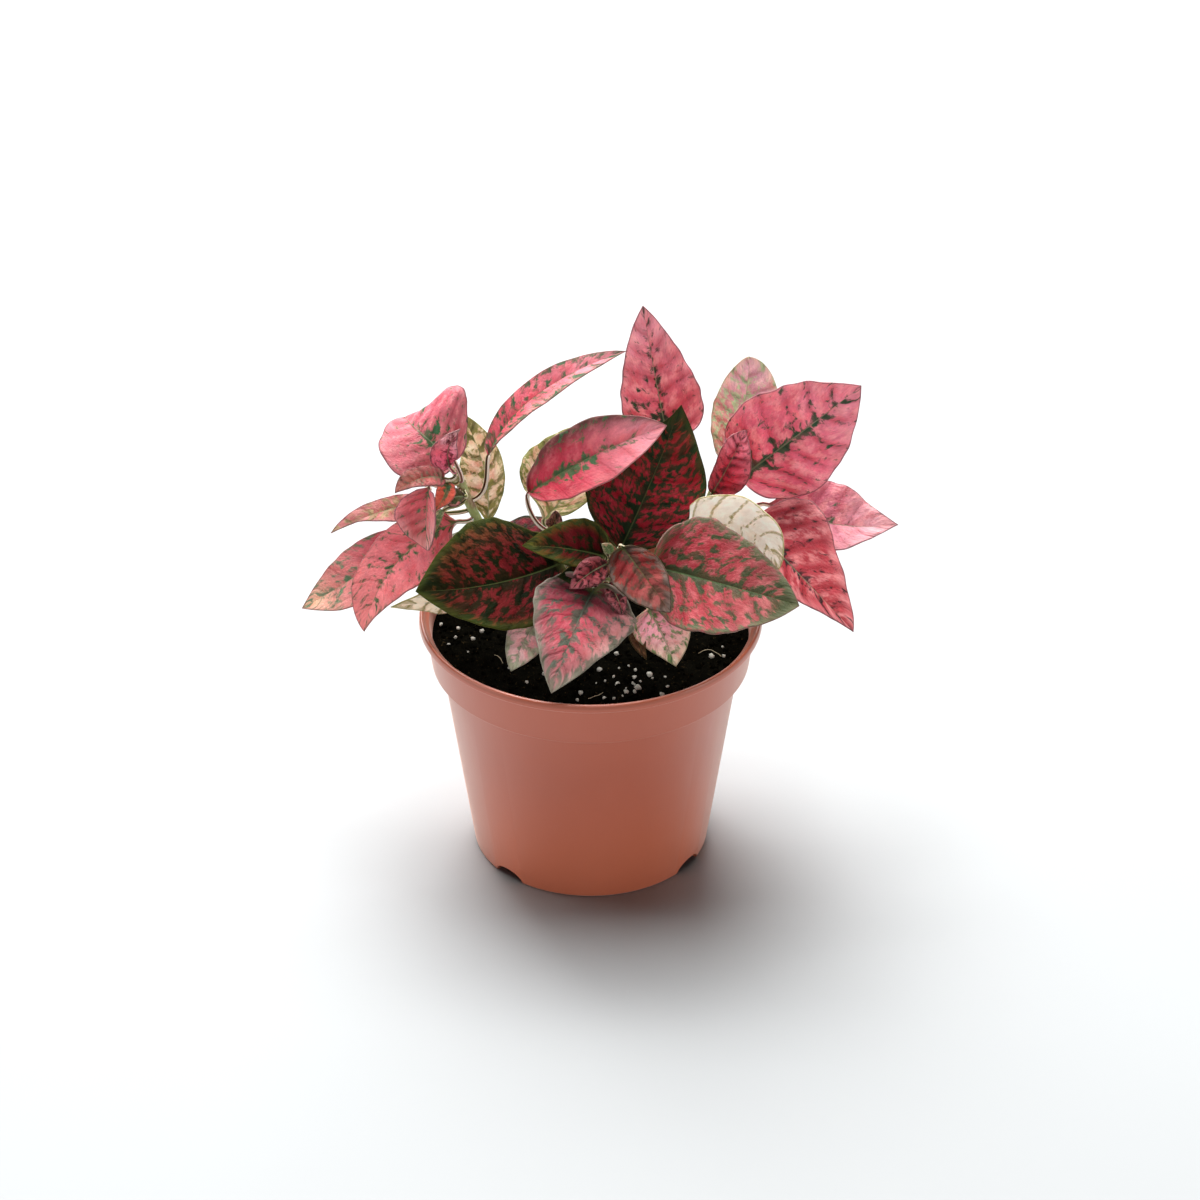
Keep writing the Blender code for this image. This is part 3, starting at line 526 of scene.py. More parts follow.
def maths(tree, operation, *operands):
    return add(tree, "Math", enumerate(operands), operation=operation).outputs[0]


def times(tree, first, second):
    return maths(tree, 'MULTIPLY', first, second)


def slope(tree, value, low, high, start=0, end=1):
    """A smooth step of the value between low and high."""
    return add(tree, "MapRange",
               {"Value": value, "From Min": low, "From Max": high, "To Min": start, "To Max": end},
               interpolation_type='SMOOTHSTEP').outputs[0]


def blend(tree, mask, share, first, second, kind='MIX'):
    """Two colours mixed by a share of a mask. A colour may be a code."""
    first, second = (rgba(colour) if isinstance(colour, str) else colour
                     for colour in (first, second))
    factor = mask if share == 1 else times(tree, mask, share)
    return add(tree, "Mix", {0: factor, 6: first, 7: second}, data_type='RGBA',
               blend_type=kind).outputs[2]


def noise(tree, vector, scale, detail=2, roughness=0.5, distortion=0):
    return add(tree, "TexNoise",
               {"Vector": vector, "Scale": scale, "Detail": detail, "Roughness": roughness,
                "Distortion": distortion}).outputs["Fac"]


def split(tree, vector, part):
    return add(tree, "SeparateXYZ", {0: vector}).outputs[part]


def new_group(name, inputs, outputs):
    """A shader node group with its named sockets, and its input and output nodes' sockets."""
    tree = bpy.data.node_groups.new(name, "ShaderNodeTree")
    for side, sockets in (('INPUT', inputs), ('OUTPUT', outputs)):
        for socket, kind in sockets.items():
            tree.interface.new_socket(socket, in_out=side, socket_type="NodeSocket" + kind)
    return (tree, tree.nodes.new("NodeGroupInput").outputs,
            tree.nodes.new("NodeGroupOutput").inputs)


def place_group(tree, name, inputs):
    return add(tree, "Group", inputs, node_tree=bpy.data.node_groups[name]).outputs


def mottle(tree, place, scale, amount, colour):
    """The shared mottle on a colour: the clouded colour and the mask."""
    return place_group(tree, "mottle", {"Vector": place, "Scale": scale, "Amount": amount,
                                        "Color": colour}).values()


def new_material(name, **constants):
    """A material, its nodes and its shader, with what is the same all over set on the shader."""
    mat = bpy.data.materials.new(name)
    mat.use_nodes = True
    shader = mat.node_tree.nodes["Principled BSDF"]
    for key, value in constants.items():
        shader.inputs[key.replace("_", " ")].default_value = value
    return mat, mat.node_tree, shader


def object_place(tree, stretch=None):
    """Coordinates that are fixed to the piece, drawn out along Z where a stretch is given."""
    place = add(tree, "TexCoord").outputs["Object"]
    if stretch is None:
        return place
    return add(tree, "Mapping", {"Vector": place, "Scale": (1, 1, stretch)}).outputs[0]


def cover(tree, shader, colour, height, depth, strength):
    """Gives the shader its colour and its fine relief, with the depth in millimetres."""
    relief = add(tree, "Bump", {"Height": height, "Distance": depth * MM, "Strength": strength})
    tree.links.new(colour, shader.inputs["Base Color"])
    tree.links.new(relief.outputs[0], shader.inputs["Normal"])


# ---------------------------------------------------------------- shared effects

def make_mottle_group():
    """Cloudy unevenness: a colour lightened and darkened a little, and its mask."""
    tree, given, result = new_group(
        "mottle", {"Vector": "Vector", "Scale": "Float", "Amount": "Float", "Color": "Color"},
        {"Color": "Color", "Mask": "Float"})
    cloud = noise(tree, given["Vector"], given["Scale"], 4, 0.6)
    gain = maths(tree, 'MULTIPLY_ADD', maths(tree, 'SUBTRACT', cloud, 0.5), given["Amount"], 1)
    scaled = add(tree, "VectorMath", {0: given["Color"], "Scale": gain}, operation='SCALE')
    tree.links.new(scaled.outputs[0], result["Color"])
    tree.links.new(cloud, result["Mask"])


def make_variegation_group():
    """Ragged patches of green that run along the side veins: their mask and the blade's tone."""
    tree, given, result = new_group(
        "variegation", {"Grain": "Vector", "Share": "Float", "Fleck": "Float", "Softness": "Float"},
        {"Mask": "Float", "Tone": "Float"})
    size = maths(tree, 'DIVIDE', 1, given["Fleck"])
    stretch = add(tree, "CombineXYZ", {0: times(tree, size, 0.85), 1: size, 2: 1}).outputs[0]
    place = add(tree, "VectorMath", {0: given["Grain"], 1: stretch},
                operation='MULTIPLY').outputs[0]
    patches = noise(tree, place, 1, 4, 0.6, 0.35)
    limit = times(tree, maths(tree, 'SUBTRACT', 0.5, given["Share"]), 0.34)
    limit = maths(tree, 'ADD', limit, 0.5)
    low, high = (maths(tree, side, limit, given["Softness"]) for side in ('SUBTRACT', 'ADD'))
    tree.links.new(slope(tree, patches, low, high), result["Mask"])
    tree.links.new(noise(tree, place, 0.35), result["Tone"])


def make_leaf_lines_group():
    """The midrib, the side veins and the margin as thin lines, from distances in millimetres."""
    tree, given, result = new_group(
        "leaf_lines", {"Reach": "Vector", "Vein": "Float", "Along": "Float", "Grain": "Vector"},
        {"Midrib": "Float", "Veins": "Float", "Margin": "Float"})
    wobble = noise(tree, given["Grain"], 0.9, 3, 0.6)
    across = maths(tree, 'ABSOLUTE', split(tree, given["Reach"], 0))
    width = times(tree, maths(tree, 'SUBTRACT', 1.05, given["Along"]), 0.42)
    near = maths(tree, 'SUBTRACT', given["Vein"], times(tree, wobble, 0.9))
    rim = maths(tree, 'SUBTRACT', split(tree, given["Reach"], 1), times(tree, wobble, 0.6))
    for name, distance, far, close in (("Midrib", maths(tree, 'DIVIDE', across, width), 1.3, 0.5),
                                       ("Veins", near, 0.25, -0.25), ("Margin", rim, 0.25, -0.1)):
        tree.links.new(slope(tree, distance, far, close), result[name])


# ---------------------------------------------------------------- stems and leaves: the shapes

# Lengths, widths, depths and gaps are in millimetres. A stalk is the blade's own sheet, rolled up
# by STALK_ROLL radians on each side. HALF_APART and LEAF_APART shift the pattern from one half and
# from one leaf to the next, so that no two look alike.
STALK_GAP = 0.3
STALK_ROWS = 16
STALK_ROLL = 2.7
STALK_SINK = 0.11
BASE_ROUNDNESS = 0.55
LEAST_SHARE = 0.5
TIP_HALF_WIDTH = 0.12
WAVE_LAG = 2.2
WAVE_FULL_WIDTH = 8.0
VEIN_SLANT = 0.62
VEIN_WANDER = 0.011
VEIN_SHIFT = 0.35
NOTCH_SHARE = 0.006
UNEVEN_SHARE = 0.010
QUILT_FULL_LENGTH = 45
CHANNEL_DEPTH = 0.35
CHANNEL_WIDTH = 0.8
HALF_APART = 60.0
LEAF_APART = (170.0, 90.0)

# How strongly a blade's rows crowd towards its ends, and its columns towards its midrib, then how
# many it has for each millimetre of its length, the least and the most.
ROW_CROWDING = 0.6
COLUMN_CROWDING = 1.25
ROWS = (1.9, 24, 110)
COLUMNS = (0.9, 14, 44)


def smooth_route(points, count):
    """Points spread along a smooth curve through the given ones."""
    ends = np.array([points[0], *points, points[-1]], float)
    samples = []
    for place in np.linspace(0, len(points) - 1, count):
        span = min(int(place), len(points) - 2)
        t = place - span
        a, b, c, d = ends[span:span + 4]
        samples.append(0.5 * (2 * b + (c - a) * t + (2 * a - 5 * b + 4 * c - d) * t ** 2
                              + (3 * b - 3 * c + d - a) * t ** 3))
    return np.array(samples)


def stem_at(name, height):
    """The stem's centre, direction and radius at a height."""
    route, foot_radius, top_radius = STEMS[name]
    line = smooth_route(route, 81)
    place = int(np.clip(np.argmin(np.abs(line[:, 2] - height)), 1, len(line) - 2))
    along = unit(line[place + 1] - line[place - 1])
    share = place / (len(line) - 1)
    return line[place], along, foot_radius + (top_radius - foot_radius) * share


def half_width(s, quarters, blunt):
    """Half width of a blade at s along its midrib, through its three quarter-point widths."""
    def outline(place):
        return place ** BASE_ROUNDNESS * (1 - place) ** blunt

    a, b, c = scale = [width / outline(place) for place, width in zip((0.25, 0.5, 0.75), quarters)]
    mixed = ((s - 0.5) * (s - 0.75) / 0.125 * a + (s - 0.25) * (s - 0.75) / -0.0625 * b
             + (s - 0.25) * (s - 0.5) / 0.125 * c)
    return outline(s) * np.maximum(mixed, LEAST_SHARE * min(scale))


def quadratic(s, start, middle, end):
    """A curve through three points, and its direction, at s from 0 to 1."""
    handle = 2 * middle - (start + end) / 2
    point = (1 - s) ** 2 * start + 2 * s * (1 - s) * handle + s ** 2 * end
    return point, unit(2 * (1 - s) * (handle - start) + 2 * s * (end - handle))


def petiole_line(leaf, ahead):
    """The stalk's centre line and heading, from just outside its stem to just before the blade."""
    centre, along, radius = stem_at(leaf["stem"], leaf["seat"])
    base = leaf["route"][0]
    out = base - centre
    out = unit(out - out.dot(along) * along)
    seat = centre + out * (radius + STALK_GAP)
    reach = 0.4 * np.linalg.norm(base - seat)
    q = np.linspace(0, 1, STALK_ROWS + 1)[:-1, None] ** 1.6
    line = ((1 - q) ** 3 * seat + 3 * q * (1 - q) ** 2 * (seat + out * reach)
            + 3 * q ** 2 * (1 - q) * (base - ahead * reach / 2) + q ** 3 * base)
    heading = unit(np.gradient(np.vstack([line, base]), axis=0)[:-1])
    heading[0] = out
    return line, heading


class Blade:
    """A leaf as rows of points from its stem to its tip, with the fields that its finish reads. s
    and t are as in the table, u is how far out a point is, and reach is that in millimetres."""

    def __init__(self, leaf, rows, columns):
        plant = settings().plant
        k = np.linspace(0, 1, rows + 1)[:, None]
        s = k - ROW_CROWDING * np.sin(2 * np.pi * k) / (2 * np.pi)
        centre, ahead = quadratic(s, *leaf["route"])
        self.length = float(np.sum(np.linalg.norm(np.diff(centre, axis=0), axis=1)))
        stalk, stalk_ahead = petiole_line(leaf, ahead[0])
        start, end = (unit(np.array(leaf["faces"][side], float)) for side in (0, -1))
        up = np.vstack([np.repeat(start[None], STALK_ROWS, axis=0), (1 - s) * start + s * end])
        ahead, centre = np.vstack([stalk_ahead, ahead]), np.vstack([stalk, centre])
        up = unit(up - np.sum(up * ahead, axis=1, keepdims=True) * ahead)
        across = np.cross(ahead, up)

        even = np.linspace(-1, 1, columns + 1)[None, :]
        side = np.sign(even) * np.abs(even) ** COLUMN_CROWDING
        self.s = np.vstack([np.zeros((STALK_ROWS, 1)), s]) + 0 * side
        self.t = side + 0 * self.s
        u, left = np.abs(side), side < 0
        self.number = sum(map(ord, leaf["stem"])) + leaf["seat"]
        self.slant = VEIN_SLANT * max(*leaf["left"], *leaf["right"]) / self.length
        self.vein_fields(leaf.get("pairs", plant.vein_pairs))
        stalk_width = plant.stalk_radius / MM * STALK_ROLL
        self.width = self.outline(leaf, left, stalk_width)
        self.reach = self.width * np.abs(self.t)

        roll = STALK_ROLL * (1 - smooth(self.s, 0, 0.1)) + 1e-4
        out = self.width * np.sin(roll * u) / roll
        rise = self.width * (1 - np.cos(roll * u)) / roll - STALK_SINK * stalk_width * roll
        fold, curl = (np.radians(np.where(left, *leaf[key])) for key in ("fold", "curl"))
        angle = (fold + 0.5 * curl * u) * smooth(self.s, 0, 0.08)
        out, rise = (out * np.cos(angle) - rise * np.sin(angle),
                     out * np.sin(angle) + rise * np.cos(angle))
        amount, count, shift = leaf["wave"]
        ripple = np.sin(2 * np.pi * (count * self.s + shift) + np.where(left, WAVE_LAG, 0))
        ripple = ripple * np.clip(self.width / WAVE_FULL_WIDTH, 0, 1) * smooth(self.s, 0, 0.05)
        rise = (rise + amount * u ** 1.5 * ripple + self.relief(leaf["quilt"], u))[..., None]
        out = (out * np.sign(side))[..., None]
        self.points = centre[:, None] + across[:, None] * out + up[:, None] * rise
        # Painted shade: both colours darken towards the base, where the leaves crowd at the crown.
        sunk = 1 - leaf["sunk"] * (1 - smooth(self.s, 0.05, 0.55))[..., None]
        self.green, self.tint = self.green_share(leaf), self.light_colour(leaf) * sunk
        self.dark = self.dark_colour(leaf, leaf.get("stalk", plant.stalk_colour)) * sunk

    def vein_fields(self, pairs):
        """Where the side veins run: their course and number, and the distance to the nearest."""
        u = np.abs(self.t)
        lean = self.slant * u ** 1.25 * (1 - 0.45 * self.s)
        wander = VEIN_WANDER * np.sin(3 * self.t + 13 * self.s + self.number)
        self.course = self.s - lean + wander * smooth(u, 0.05, 0.4)
        self.phase = pairs * self.course + np.where(self.t < 0, VEIN_SHIFT, 0)
        self.vein_gap = np.abs(self.phase - np.round(self.phase)) / pairs * self.length

    def outline(self, leaf, left, stalk_width):
        """Half widths, with a margin that is notched at the veins and a little uneven."""
        width = np.where(left, half_width(self.s, leaf["left"], leaf["blunt"]),
                         half_width(self.s, leaf["right"], leaf["blunt"]))
        uneven = (np.sin(23 * self.s + self.number)
                  + 0.7 * np.sin(47 * self.s + 2.1 * self.number + 3 * left))
        notch = NOTCH_SHARE * np.cos(2 * np.pi * self.phase) + UNEVEN_SHARE * uneven
        width = np.maximum(width * (1 + notch * smooth(self.s, 0.03, 0.15)), TIP_HALF_WIDTH)
        joined = smooth(self.s, 0, 0.012)
        return width * joined + stalk_width * (1 - joined)

    def relief(self, quilt, u):
        """The blade bulges between its veins, and its midrib is a channel."""
        uneven = 1 + 0.45 * np.sin(2.3 * np.floor(self.phase) + self.number)
        swell = uneven * np.abs(np.sin(np.pi * self.phase)) ** 0.8 - 0.5
        calm = (smooth(self.reach, 0.3, 3) * (1 - 0.75 * smooth(u, 0.7, 1))
                * (1 - smooth(self.s, 0.8, 1)))
        size = quilt * min(1, self.length / QUILT_FULL_LENGTH)
        channel = -CHANNEL_DEPTH * np.exp(-(self.reach / CHANNEL_WIDTH) ** 2) * (1 - 0.7 * self.s)
        along = self.s * self.length
        pucker = np.sin(0.62 * self.reach + 1.3 * np.sin(0.31 * along + self.number))
        pucker = pucker * np.sin(0.75 * along + 1.1 * np.sin(0.4 * self.reach) + 2 * self.number)
        bulge = size * calm * (0.75 * swell + 0.45 * pucker)
        return smooth(self.s, 0.01, 0.1) * (bulge + channel)

    def spot(self, t, s, reach_t, reach_s):
        return np.exp(-((self.t - t) / reach_t) ** 2 - ((self.s - s) / reach_s) ** 2)

    def green_share(self, leaf):
        u = np.abs(self.t)
        share = leaf["green"] + leaf["rib"] * np.exp(-(self.reach / 1.9) ** 2) * (1.1 - self.s)
        share = share + leaf["veins"] * np.exp(-(self.vein_gap / 1.2) ** 2) * (1 - 0.85 * u)
        share = share + leaf["edge"] * (1 - smooth(self.width * (1 - u), 0.3, 3.5))
        share = share + leaf["point"] * smooth(self.s, 0.75, 1)
        for *place, amount in leaf["patches"]:
            share = share + amount * self.spot(*place)
        return share

    def light_colour(self, leaf):
        colour = mix_colours(smooth(self.s, 0.25, 1), leaf["light"], leaf["end"])
        # Some tints are painted shade laid on the leaf's colour.
        for *place, code, amount in leaf["tints"]:
            colour = mix_colours(amount * self.spot(*place), colour, code)
        return colour

    def dark_colour(self, leaf, stalk_colour):
        inner = smooth(self.width * (1 - np.abs(self.t)), 0.5, 4.5)
        dark = mix_colours(inner, leaf.get("edging", leaf["dark"]), leaf["dark"])
        return mix_colours(1 - smooth(self.s, 0, 0.06), dark, stalk_colour)


def mix_colours(part, first, second):
    """Two fields of colour mixed. A colour may be a code."""
    first, second = (np.array(shade(colour) if isinstance(colour, str) else colour)
                     for colour in (first, second))
    return (1 - part[..., None]) * first + part[..., None] * second


def blade_object(name, blade, coarse, number):
    """The blade's sheet from a grid, with its fields as maps and attributes."""
    rows, columns = (count - 1 for count in blade.points.shape[:2])
    obj, grid = grid_piece(name, columns, rows)
    mesh = obj.data
    here = tuple(np.rint((grid[:, axis] + 1) / 2 * count).astype(int)
                 for axis, count in ((1, rows), (0, columns)))
    mesh.vertices.foreach_set("co", (blade.points[here] * MM).astype(np.float32).ravel())
    loops = np.empty(len(mesh.loops), np.int32)
    mesh.loops.foreach_get("vertex_index", loops)
    u, left = np.abs(blade.t), blade.t < 0
    reach = blade.width * blade.t
    margin = blade.width * (1 - u) + 2 * (1 - smooth(blade.s, 0, 0.05))
    grain = (reach * np.sqrt(1 + 0.6 * u) / coarse + np.where(left, HALF_APART, 0),
             blade.course * blade.length / coarse)
    grain = [part + apart * number for part, apart in zip(grain, LEAF_APART)]
    for layer, fields in (("blade", (blade.t, blade.s)), ("reach", (reach, margin)),
                          ("grain", grain)):
        values = np.stack([field[here][loops] for field in fields], axis=-1)
        uv_map = mesh.uv_layers.new(name=layer)
        uv_map.data.foreach_set("uv", values.astype(np.float32).ravel())
    for field, values in (("vein", blade.vein_gap), ("green", blade.green)):
        attribute = mesh.attributes.new(field, 'FLOAT', 'POINT')
        attribute.data.foreach_set("value", values[here].astype(np.float32))
    for field, values in (("tint", blade.tint), ("dark", blade.dark)):
        attribute = mesh.attributes.new(field, 'FLOAT_COLOR', 'POINT')
        full = np.insert(values[here], 3, 1, axis=-1)
        attribute.data.foreach_set("color", full.astype(np.float32).ravel())
    mesh.update()
    return obj


# ---------------------------------------------------------------- leaves: finishes

def blade_reads(tree, fleck, softness):
    """What a blade's maps and attributes hold, and the groups that turn them into masks."""
    blade, reach, grain = (add(tree, "UVMap", uv_map=name).outputs[0]
                           for name in ("blade", "reach", "grain"))
    vein, green, tint, dark = (add(tree, "Attribute", attribute_name=name).outputs
                               for name in ("vein", "green", "tint", "dark"))
    lines = place_group(tree, "leaf_lines", {"Reach": reach, "Vein": vein["Fac"],
                                             "Along": split(tree, blade, 1), "Grain": grain})
    patches = place_group(tree, "variegation", {"Grain": grain, "Share": green["Fac"],
                                                "Fleck": fleck, "Softness": softness})
    return (grain, vein["Fac"], split(tree, reach, 1), tint["Color"], dark["Color"], lines,
            patches)


def thin_material(name, roughness, gloss, through):
    """A blade's material: it is thin, so part of the light on one side comes out on the other."""
    return new_material(name, Roughness=roughness, Specular_IOR_Level=gloss,
                        Subsurface_Weight=through, Subsurface_Radius=(1, 0.8, 0.7),
                        Subsurface_Scale=MM)


def make_blade_material(name, finish):
    """The upper side: pale patches and ragged green, with painted shade along the veins' grooves
    and a painted highlight on the bulges between them.
    """
    mat, tree, shader = thin_material(name, 0.48, finish["shine"], finish["thin"])
    grain, vein, margin, tint, dark, lines, patches = blade_reads(tree, finish["fleck"], 0.07)
    light, _ = mottle(tree, grain, 0.22, 0.9, tint)
    flush = slope(tree, noise(tree, grain, 0.11, 3, 0.55), 0.5, 0.66)
    flushed = blend(tree, flush, 0.6, light, "e0a0a6", 'MULTIPLY')
    # Painted shade: the grooves along the side veins, broken up here and there, are darkened with
    # the deep colour.
    broken = slope(tree, noise(tree, grain, 0.17), 0.36, 0.62, 0.35)
    groove = times(tree, times(tree, slope(tree, vein, 1.5, 0), finish["groove"]), broken)
    deep = blend(tree, groove, 1, flushed, finish["deep"], 'MULTIPLY')
    # Painted highlight: the swollen parts between the veins are lightened in clouds.
    clouds = slope(tree, noise(tree, grain, 0.28, 3, 0.6), 0.38, 0.62)
    ridge = times(tree, slope(tree, vein, 0.9, 3.4), clouds)
    bloomed = blend(tree, ridge, finish["bloom_share"], deep, finish["bloom"])
    fine, _ = mottle(tree, grain, 1.1, 0.5, bloomed)
    dusted = blend(tree, slope(tree, margin, 4.5, 0.2, 0, finish["dust"]), 1, fine, finish["rim"])
    green, _ = mottle(tree, grain, 0.5, 1.2, dark)
    # The green is darkened in the grooves too, as painted shade.
    shadowed = blend(tree, groove, 1.6, green, "8a9080", 'MULTIPLY')
    specks = slope(tree, noise(tree, grain, 0.95, 3, 0.6), 0.705, 0.76)
    spread = maths(tree, 'MAXIMUM', patches["Mask"], times(tree, specks, 0.7))
    strength = slope(tree, patches["Tone"], 0.3, 0.6, 0.82)
    patched = blend(tree, spread, strength, dusted, shadowed)
    ribbed = blend(tree, lines["Midrib"], finish["midrib"], patched, finish["rib_line"])
    edged = blend(tree, lines["Margin"], 0.65, ribbed, finish["line"])
    cells = noise(tree, grain, 0.75, 5, 0.62)
    raised = maths(tree, 'SUBTRACT', cells, times(tree, lines["Veins"], 0.3))
    cover(tree, shader, edged, raised, 0.9, 0.8)
    return mat


def make_underside_material(name, base, olive):
    """The underside: pale, with the side veins showing olive."""
    mat, tree, shader = thin_material(name, 0.6, 0.25, 0.85)
    grain, _, _, tint, _, lines, patches = blade_reads(tree, 2.6, 0.05)
    ground, _ = mottle(tree, grain, 0.4, 0.5, blend(tree, 0.16, 1, base, tint))
    patched = blend(tree, patches["Mask"], 0.55, ground, olive)
    veined = blend(tree, lines["Veins"], 0.7, patched, olive)
    edged = blend(tree, lines["Margin"], 0.8, veined, olive)
    cells = noise(tree, grain, 1.6, 3, 0.6)
    cover(tree, shader, edged, maths(tree, 'ADD', cells, lines["Veins"]), 0.25, 0.6)
    return mat


def make_leaf(name, leaf, number, materials):
    """One leaf: its blade and stalk as a single thin body."""
    size = float(np.linalg.norm(leaf["route"][2] - leaf["route"][0]))
    rows, columns = (int(np.clip(size * share, least, most))
                     for share, least, most in (ROWS, COLUMNS))
    blade = Blade(leaf, rows, columns // 2 * 2)
    obj = blade_object(name + "_blade", blade, leaf["coarse"], number)
    obj.data.materials.append(materials[leaf["finish"]])
    obj.data.materials.append(materials["underside"])
    shade_smooth(obj)
    apply_modifier(obj, 'SOLIDIFY', "Thickness", thickness=settings().plant.thickness, offset=0,
                   material_offset=1, material_offset_rim=0)
    return obj


# ---------------------------------------------------------------- stems

STEM_RINGS = 60
TIP_ROUNDING = 3.0
JOINT_SWELL = 0.12
JOINT_REACH = 1.6


def make_stem_material():
    mat, tree, shader = new_material("stem", Roughness=0.5)
    streaks = noise(tree, object_place(tree, 0.12), 1600, 4, 0.6)
    patches = slope(tree, noise(tree, object_place(tree), 120, 3, 0.6), 0.45, 0.68)
    tinted = blend(tree, patches, 1, rgba(settings().plant.stem_colour), "8b6a50")
    lined = blend(tree, slope(tree, streaks, 0.45, 0.7), 0.45, tinted, "c3c69a")
    cover(tree, shader, lined, streaks, 0.2, 0.5)
    return mat


def make_stem(name, mat):
    """One stem along its route, swollen where a leaf stalk joins it."""
    route, foot_radius, top_radius = STEMS[name]
    line = smooth_route(route, STEM_RINGS)
    height = line[:, 2]
    radius = np.linspace(foot_radius, top_radius, len(line))
    radius = radius * np.sqrt(np.clip((height[-1] - height) / TIP_ROUNDING, 0.03, 1))
    for leaf in LEAVES.values():
        if leaf["stem"] == name:
            near = np.exp(-((height - leaf["seat"]) / JOINT_REACH) ** 2)
            radius = radius * (1 + JOINT_SWELL * near)
    return make_tubes(name + "_stalk", [(line, radius)], mat, radius=1, resolution=5, angle=40)


# ---------------------------------------------------------------- pot

FOOT_RADIUS = 41.5
COLLAR_HEIGHT = 74.5
FLOOR_MIDDLE = 5.2
NOTCH_ANGLES = (-134, -34, 46, 146)
NOTCH = dict(ring=FOOT_RADIUS, height=0, vertices=48, radius=6.5, depth=12)
NOTCH_HEIGHT = 4.0
DRAIN_ANGLES = (15, 75, 135, 195, 255, 315)
DRAIN_HOLE = dict(ring=26, height=FLOOR_MIDDLE, vertices=32, radius=3.5, depth=6)


def arc(centre_radius, centre_z, radius, start, end, count):
    """Points of a round edge in the (radius, z) plane, in millimetres."""
    turns = np.radians(np.linspace(start, end, count))
    return [(centre_radius + radius * math.cos(turn), centre_z + radius * math.sin(turn))
            for turn in turns]


def walk_profile(name, profile, steps):
    """A body of rings: a circle extruded and scaled from point to point, closed at both ends."""
    deselect()
    radius, z = profile[0]
    bpy.ops.mesh.primitive_circle_add(vertices=steps, radius=radius * MM, location=(0, 0, z * MM),
                                      fill_type='NGON')
    obj = name_piece(name)
    pick(obj)
    bpy.ops.object.transform_apply(location=True, rotation=True, scale=True)
    edit_all()
    follow_profile(profile, bpy.ops.mesh.extrude_region_move)
    end_closed()
    return obj


def pot_profile():
    """The cup's outline from the middle of its floor up the inside, over the lip and down."""
    pot = settings().pot
    top, lip, wall = pot.height / MM, pot.lip_radius / MM, pot.wall / MM
    foot, collar = FOOT_RADIUS, COLLAR_HEIGHT
    inside = [(0.4, 6), *arc(foot - wall - 1.4, 7.4, 1.4, -90, 0, 5), (51, collar - 2),
              (51.3, collar - 1.2), (53.9, collar + 0.6), (54.4, collar + 1.4), (56.1, top - 3.6)]
    rim = [*arc(57.6, top - 3.4, 1.4, 180, 115, 4), (lip - 2, top - 1),
           *arc(lip - 1, top - 0.8, 0.8, 150, 10, 8), *arc(lip - 0.5, top - 2.4, 0.5, 0, -90, 4)]
    outside = [*arc(58.2, top - 3.5, 0.6, 90, 180, 4),
               *arc(55.8 - 0.6, collar + 0.6, 0.6, 0, -90, 5),
               *arc(52.9, collar - 0.6, 0.6, 90, 170, 4), *arc(foot - 0.6, 1, 1, -10, -90, 5)]
    under = [*arc(foot - 1.9, 0.4, 0.4, -90, -180, 4), (foot - 2.4, 4.5), (12.2, 4.5), (11.2, 0.4),
             (10.8, 0), (0.4, 0)]
    return inside + rim + outside + under


def cut_round_hole(obj, angle, ring, height, vertices, radius, depth, **turned):
    """Cuts a hole with a cylinder, turned as given, at this angle on a ring round the axis."""
    turn = math.radians(angle)
    deselect()
    bpy.ops.mesh.primitive_cylinder_add(
        vertices=vertices, radius=radius * MM, depth=depth * MM,
        location=(ring * MM * math.cos(turn), ring * MM * math.sin(turn), height * MM))
    cutter = bpy.context.object
    for key, value in turned.items():
        setattr(cutter, key, value)
    deselect()
    apply_modifier(obj, 'BOOLEAN', "Cut", operation='DIFFERENCE', solver='EXACT', object=cutter)
    bpy.data.objects.remove(cutter, do_unlink=True)


def make_pot():
    pot = walk_profile("nursery_pot", pot_profile(), settings().pot.steps)
    for angle in NOTCH_ANGLES:
        cut_round_hole(pot, angle, **NOTCH, scale=(NOTCH_HEIGHT / NOTCH["radius"], 1, 1),
                       rotation_euler=(0, math.radians(90), math.radians(angle)))
    for angle in DRAIN_ANGLES:
        cut_round_hole(pot, angle, **DRAIN_HOLE)
    shade_smooth(pot, 35)
    return pot


def make_plastic_material():
    """Moulded plastic: a satin colour with faint flow streaks, lighter and warmer low down as
    painted light, dark on the lip.
    """
    mat, tree, shader = new_material(
        "terracotta_plastic", Sheen_Weight=0.7, Sheen_Tint=(1, 0.74, 0.64, 1), Sheen_Roughness=0.35,
        Coat_Weight=0.35, Coat_Roughness=0.3)
    place = object_place(tree)
    tone, _ = mottle(tree, place, 22, 0.16, rgba(settings().pot.colour))
    streaks = noise(tree, object_place(tree, 0.08), 260, 3, 0.6)
    height = split(tree, place, 2)
    # Painted light: the lower part is lightened and warmed, standing in for light bounced up from
    # the floor.
    worn = blend(tree, slope(tree, height, 0.060, 0), 0.65, tone, "cd6e4c")
    rimmed = blend(tree, slope(tree, height, 0.0902, 0.0916), 0.75, worn, "8c3f22")
    rough = maths(tree, 'MULTIPLY_ADD', streaks, 0.1, 0.36)
    tree.links.new(rough, shader.inputs["Roughness"])
    grain = maths(tree, 'ADD', noise(tree, place, 2200), times(tree, streaks, 0.6))
    cover(tree, shader, rimmed, grain, 0.04, 0.5)
    return mat


# ---------------------------------------------------------------- potting mix

MIX_EDGE = 84.5
MIX_BELOW_BOX = 0.6
MIX_LUMPS = (("lumps", 5.0, 2.0), ("crumbs", 1.5, 0.9))
ABOVE_THE_MIX = 120
DOWN = Vector((0, 0, -1))
CLUMP_SPREAD = 6
THREADS = 9
THREAD_STEP = 0.8


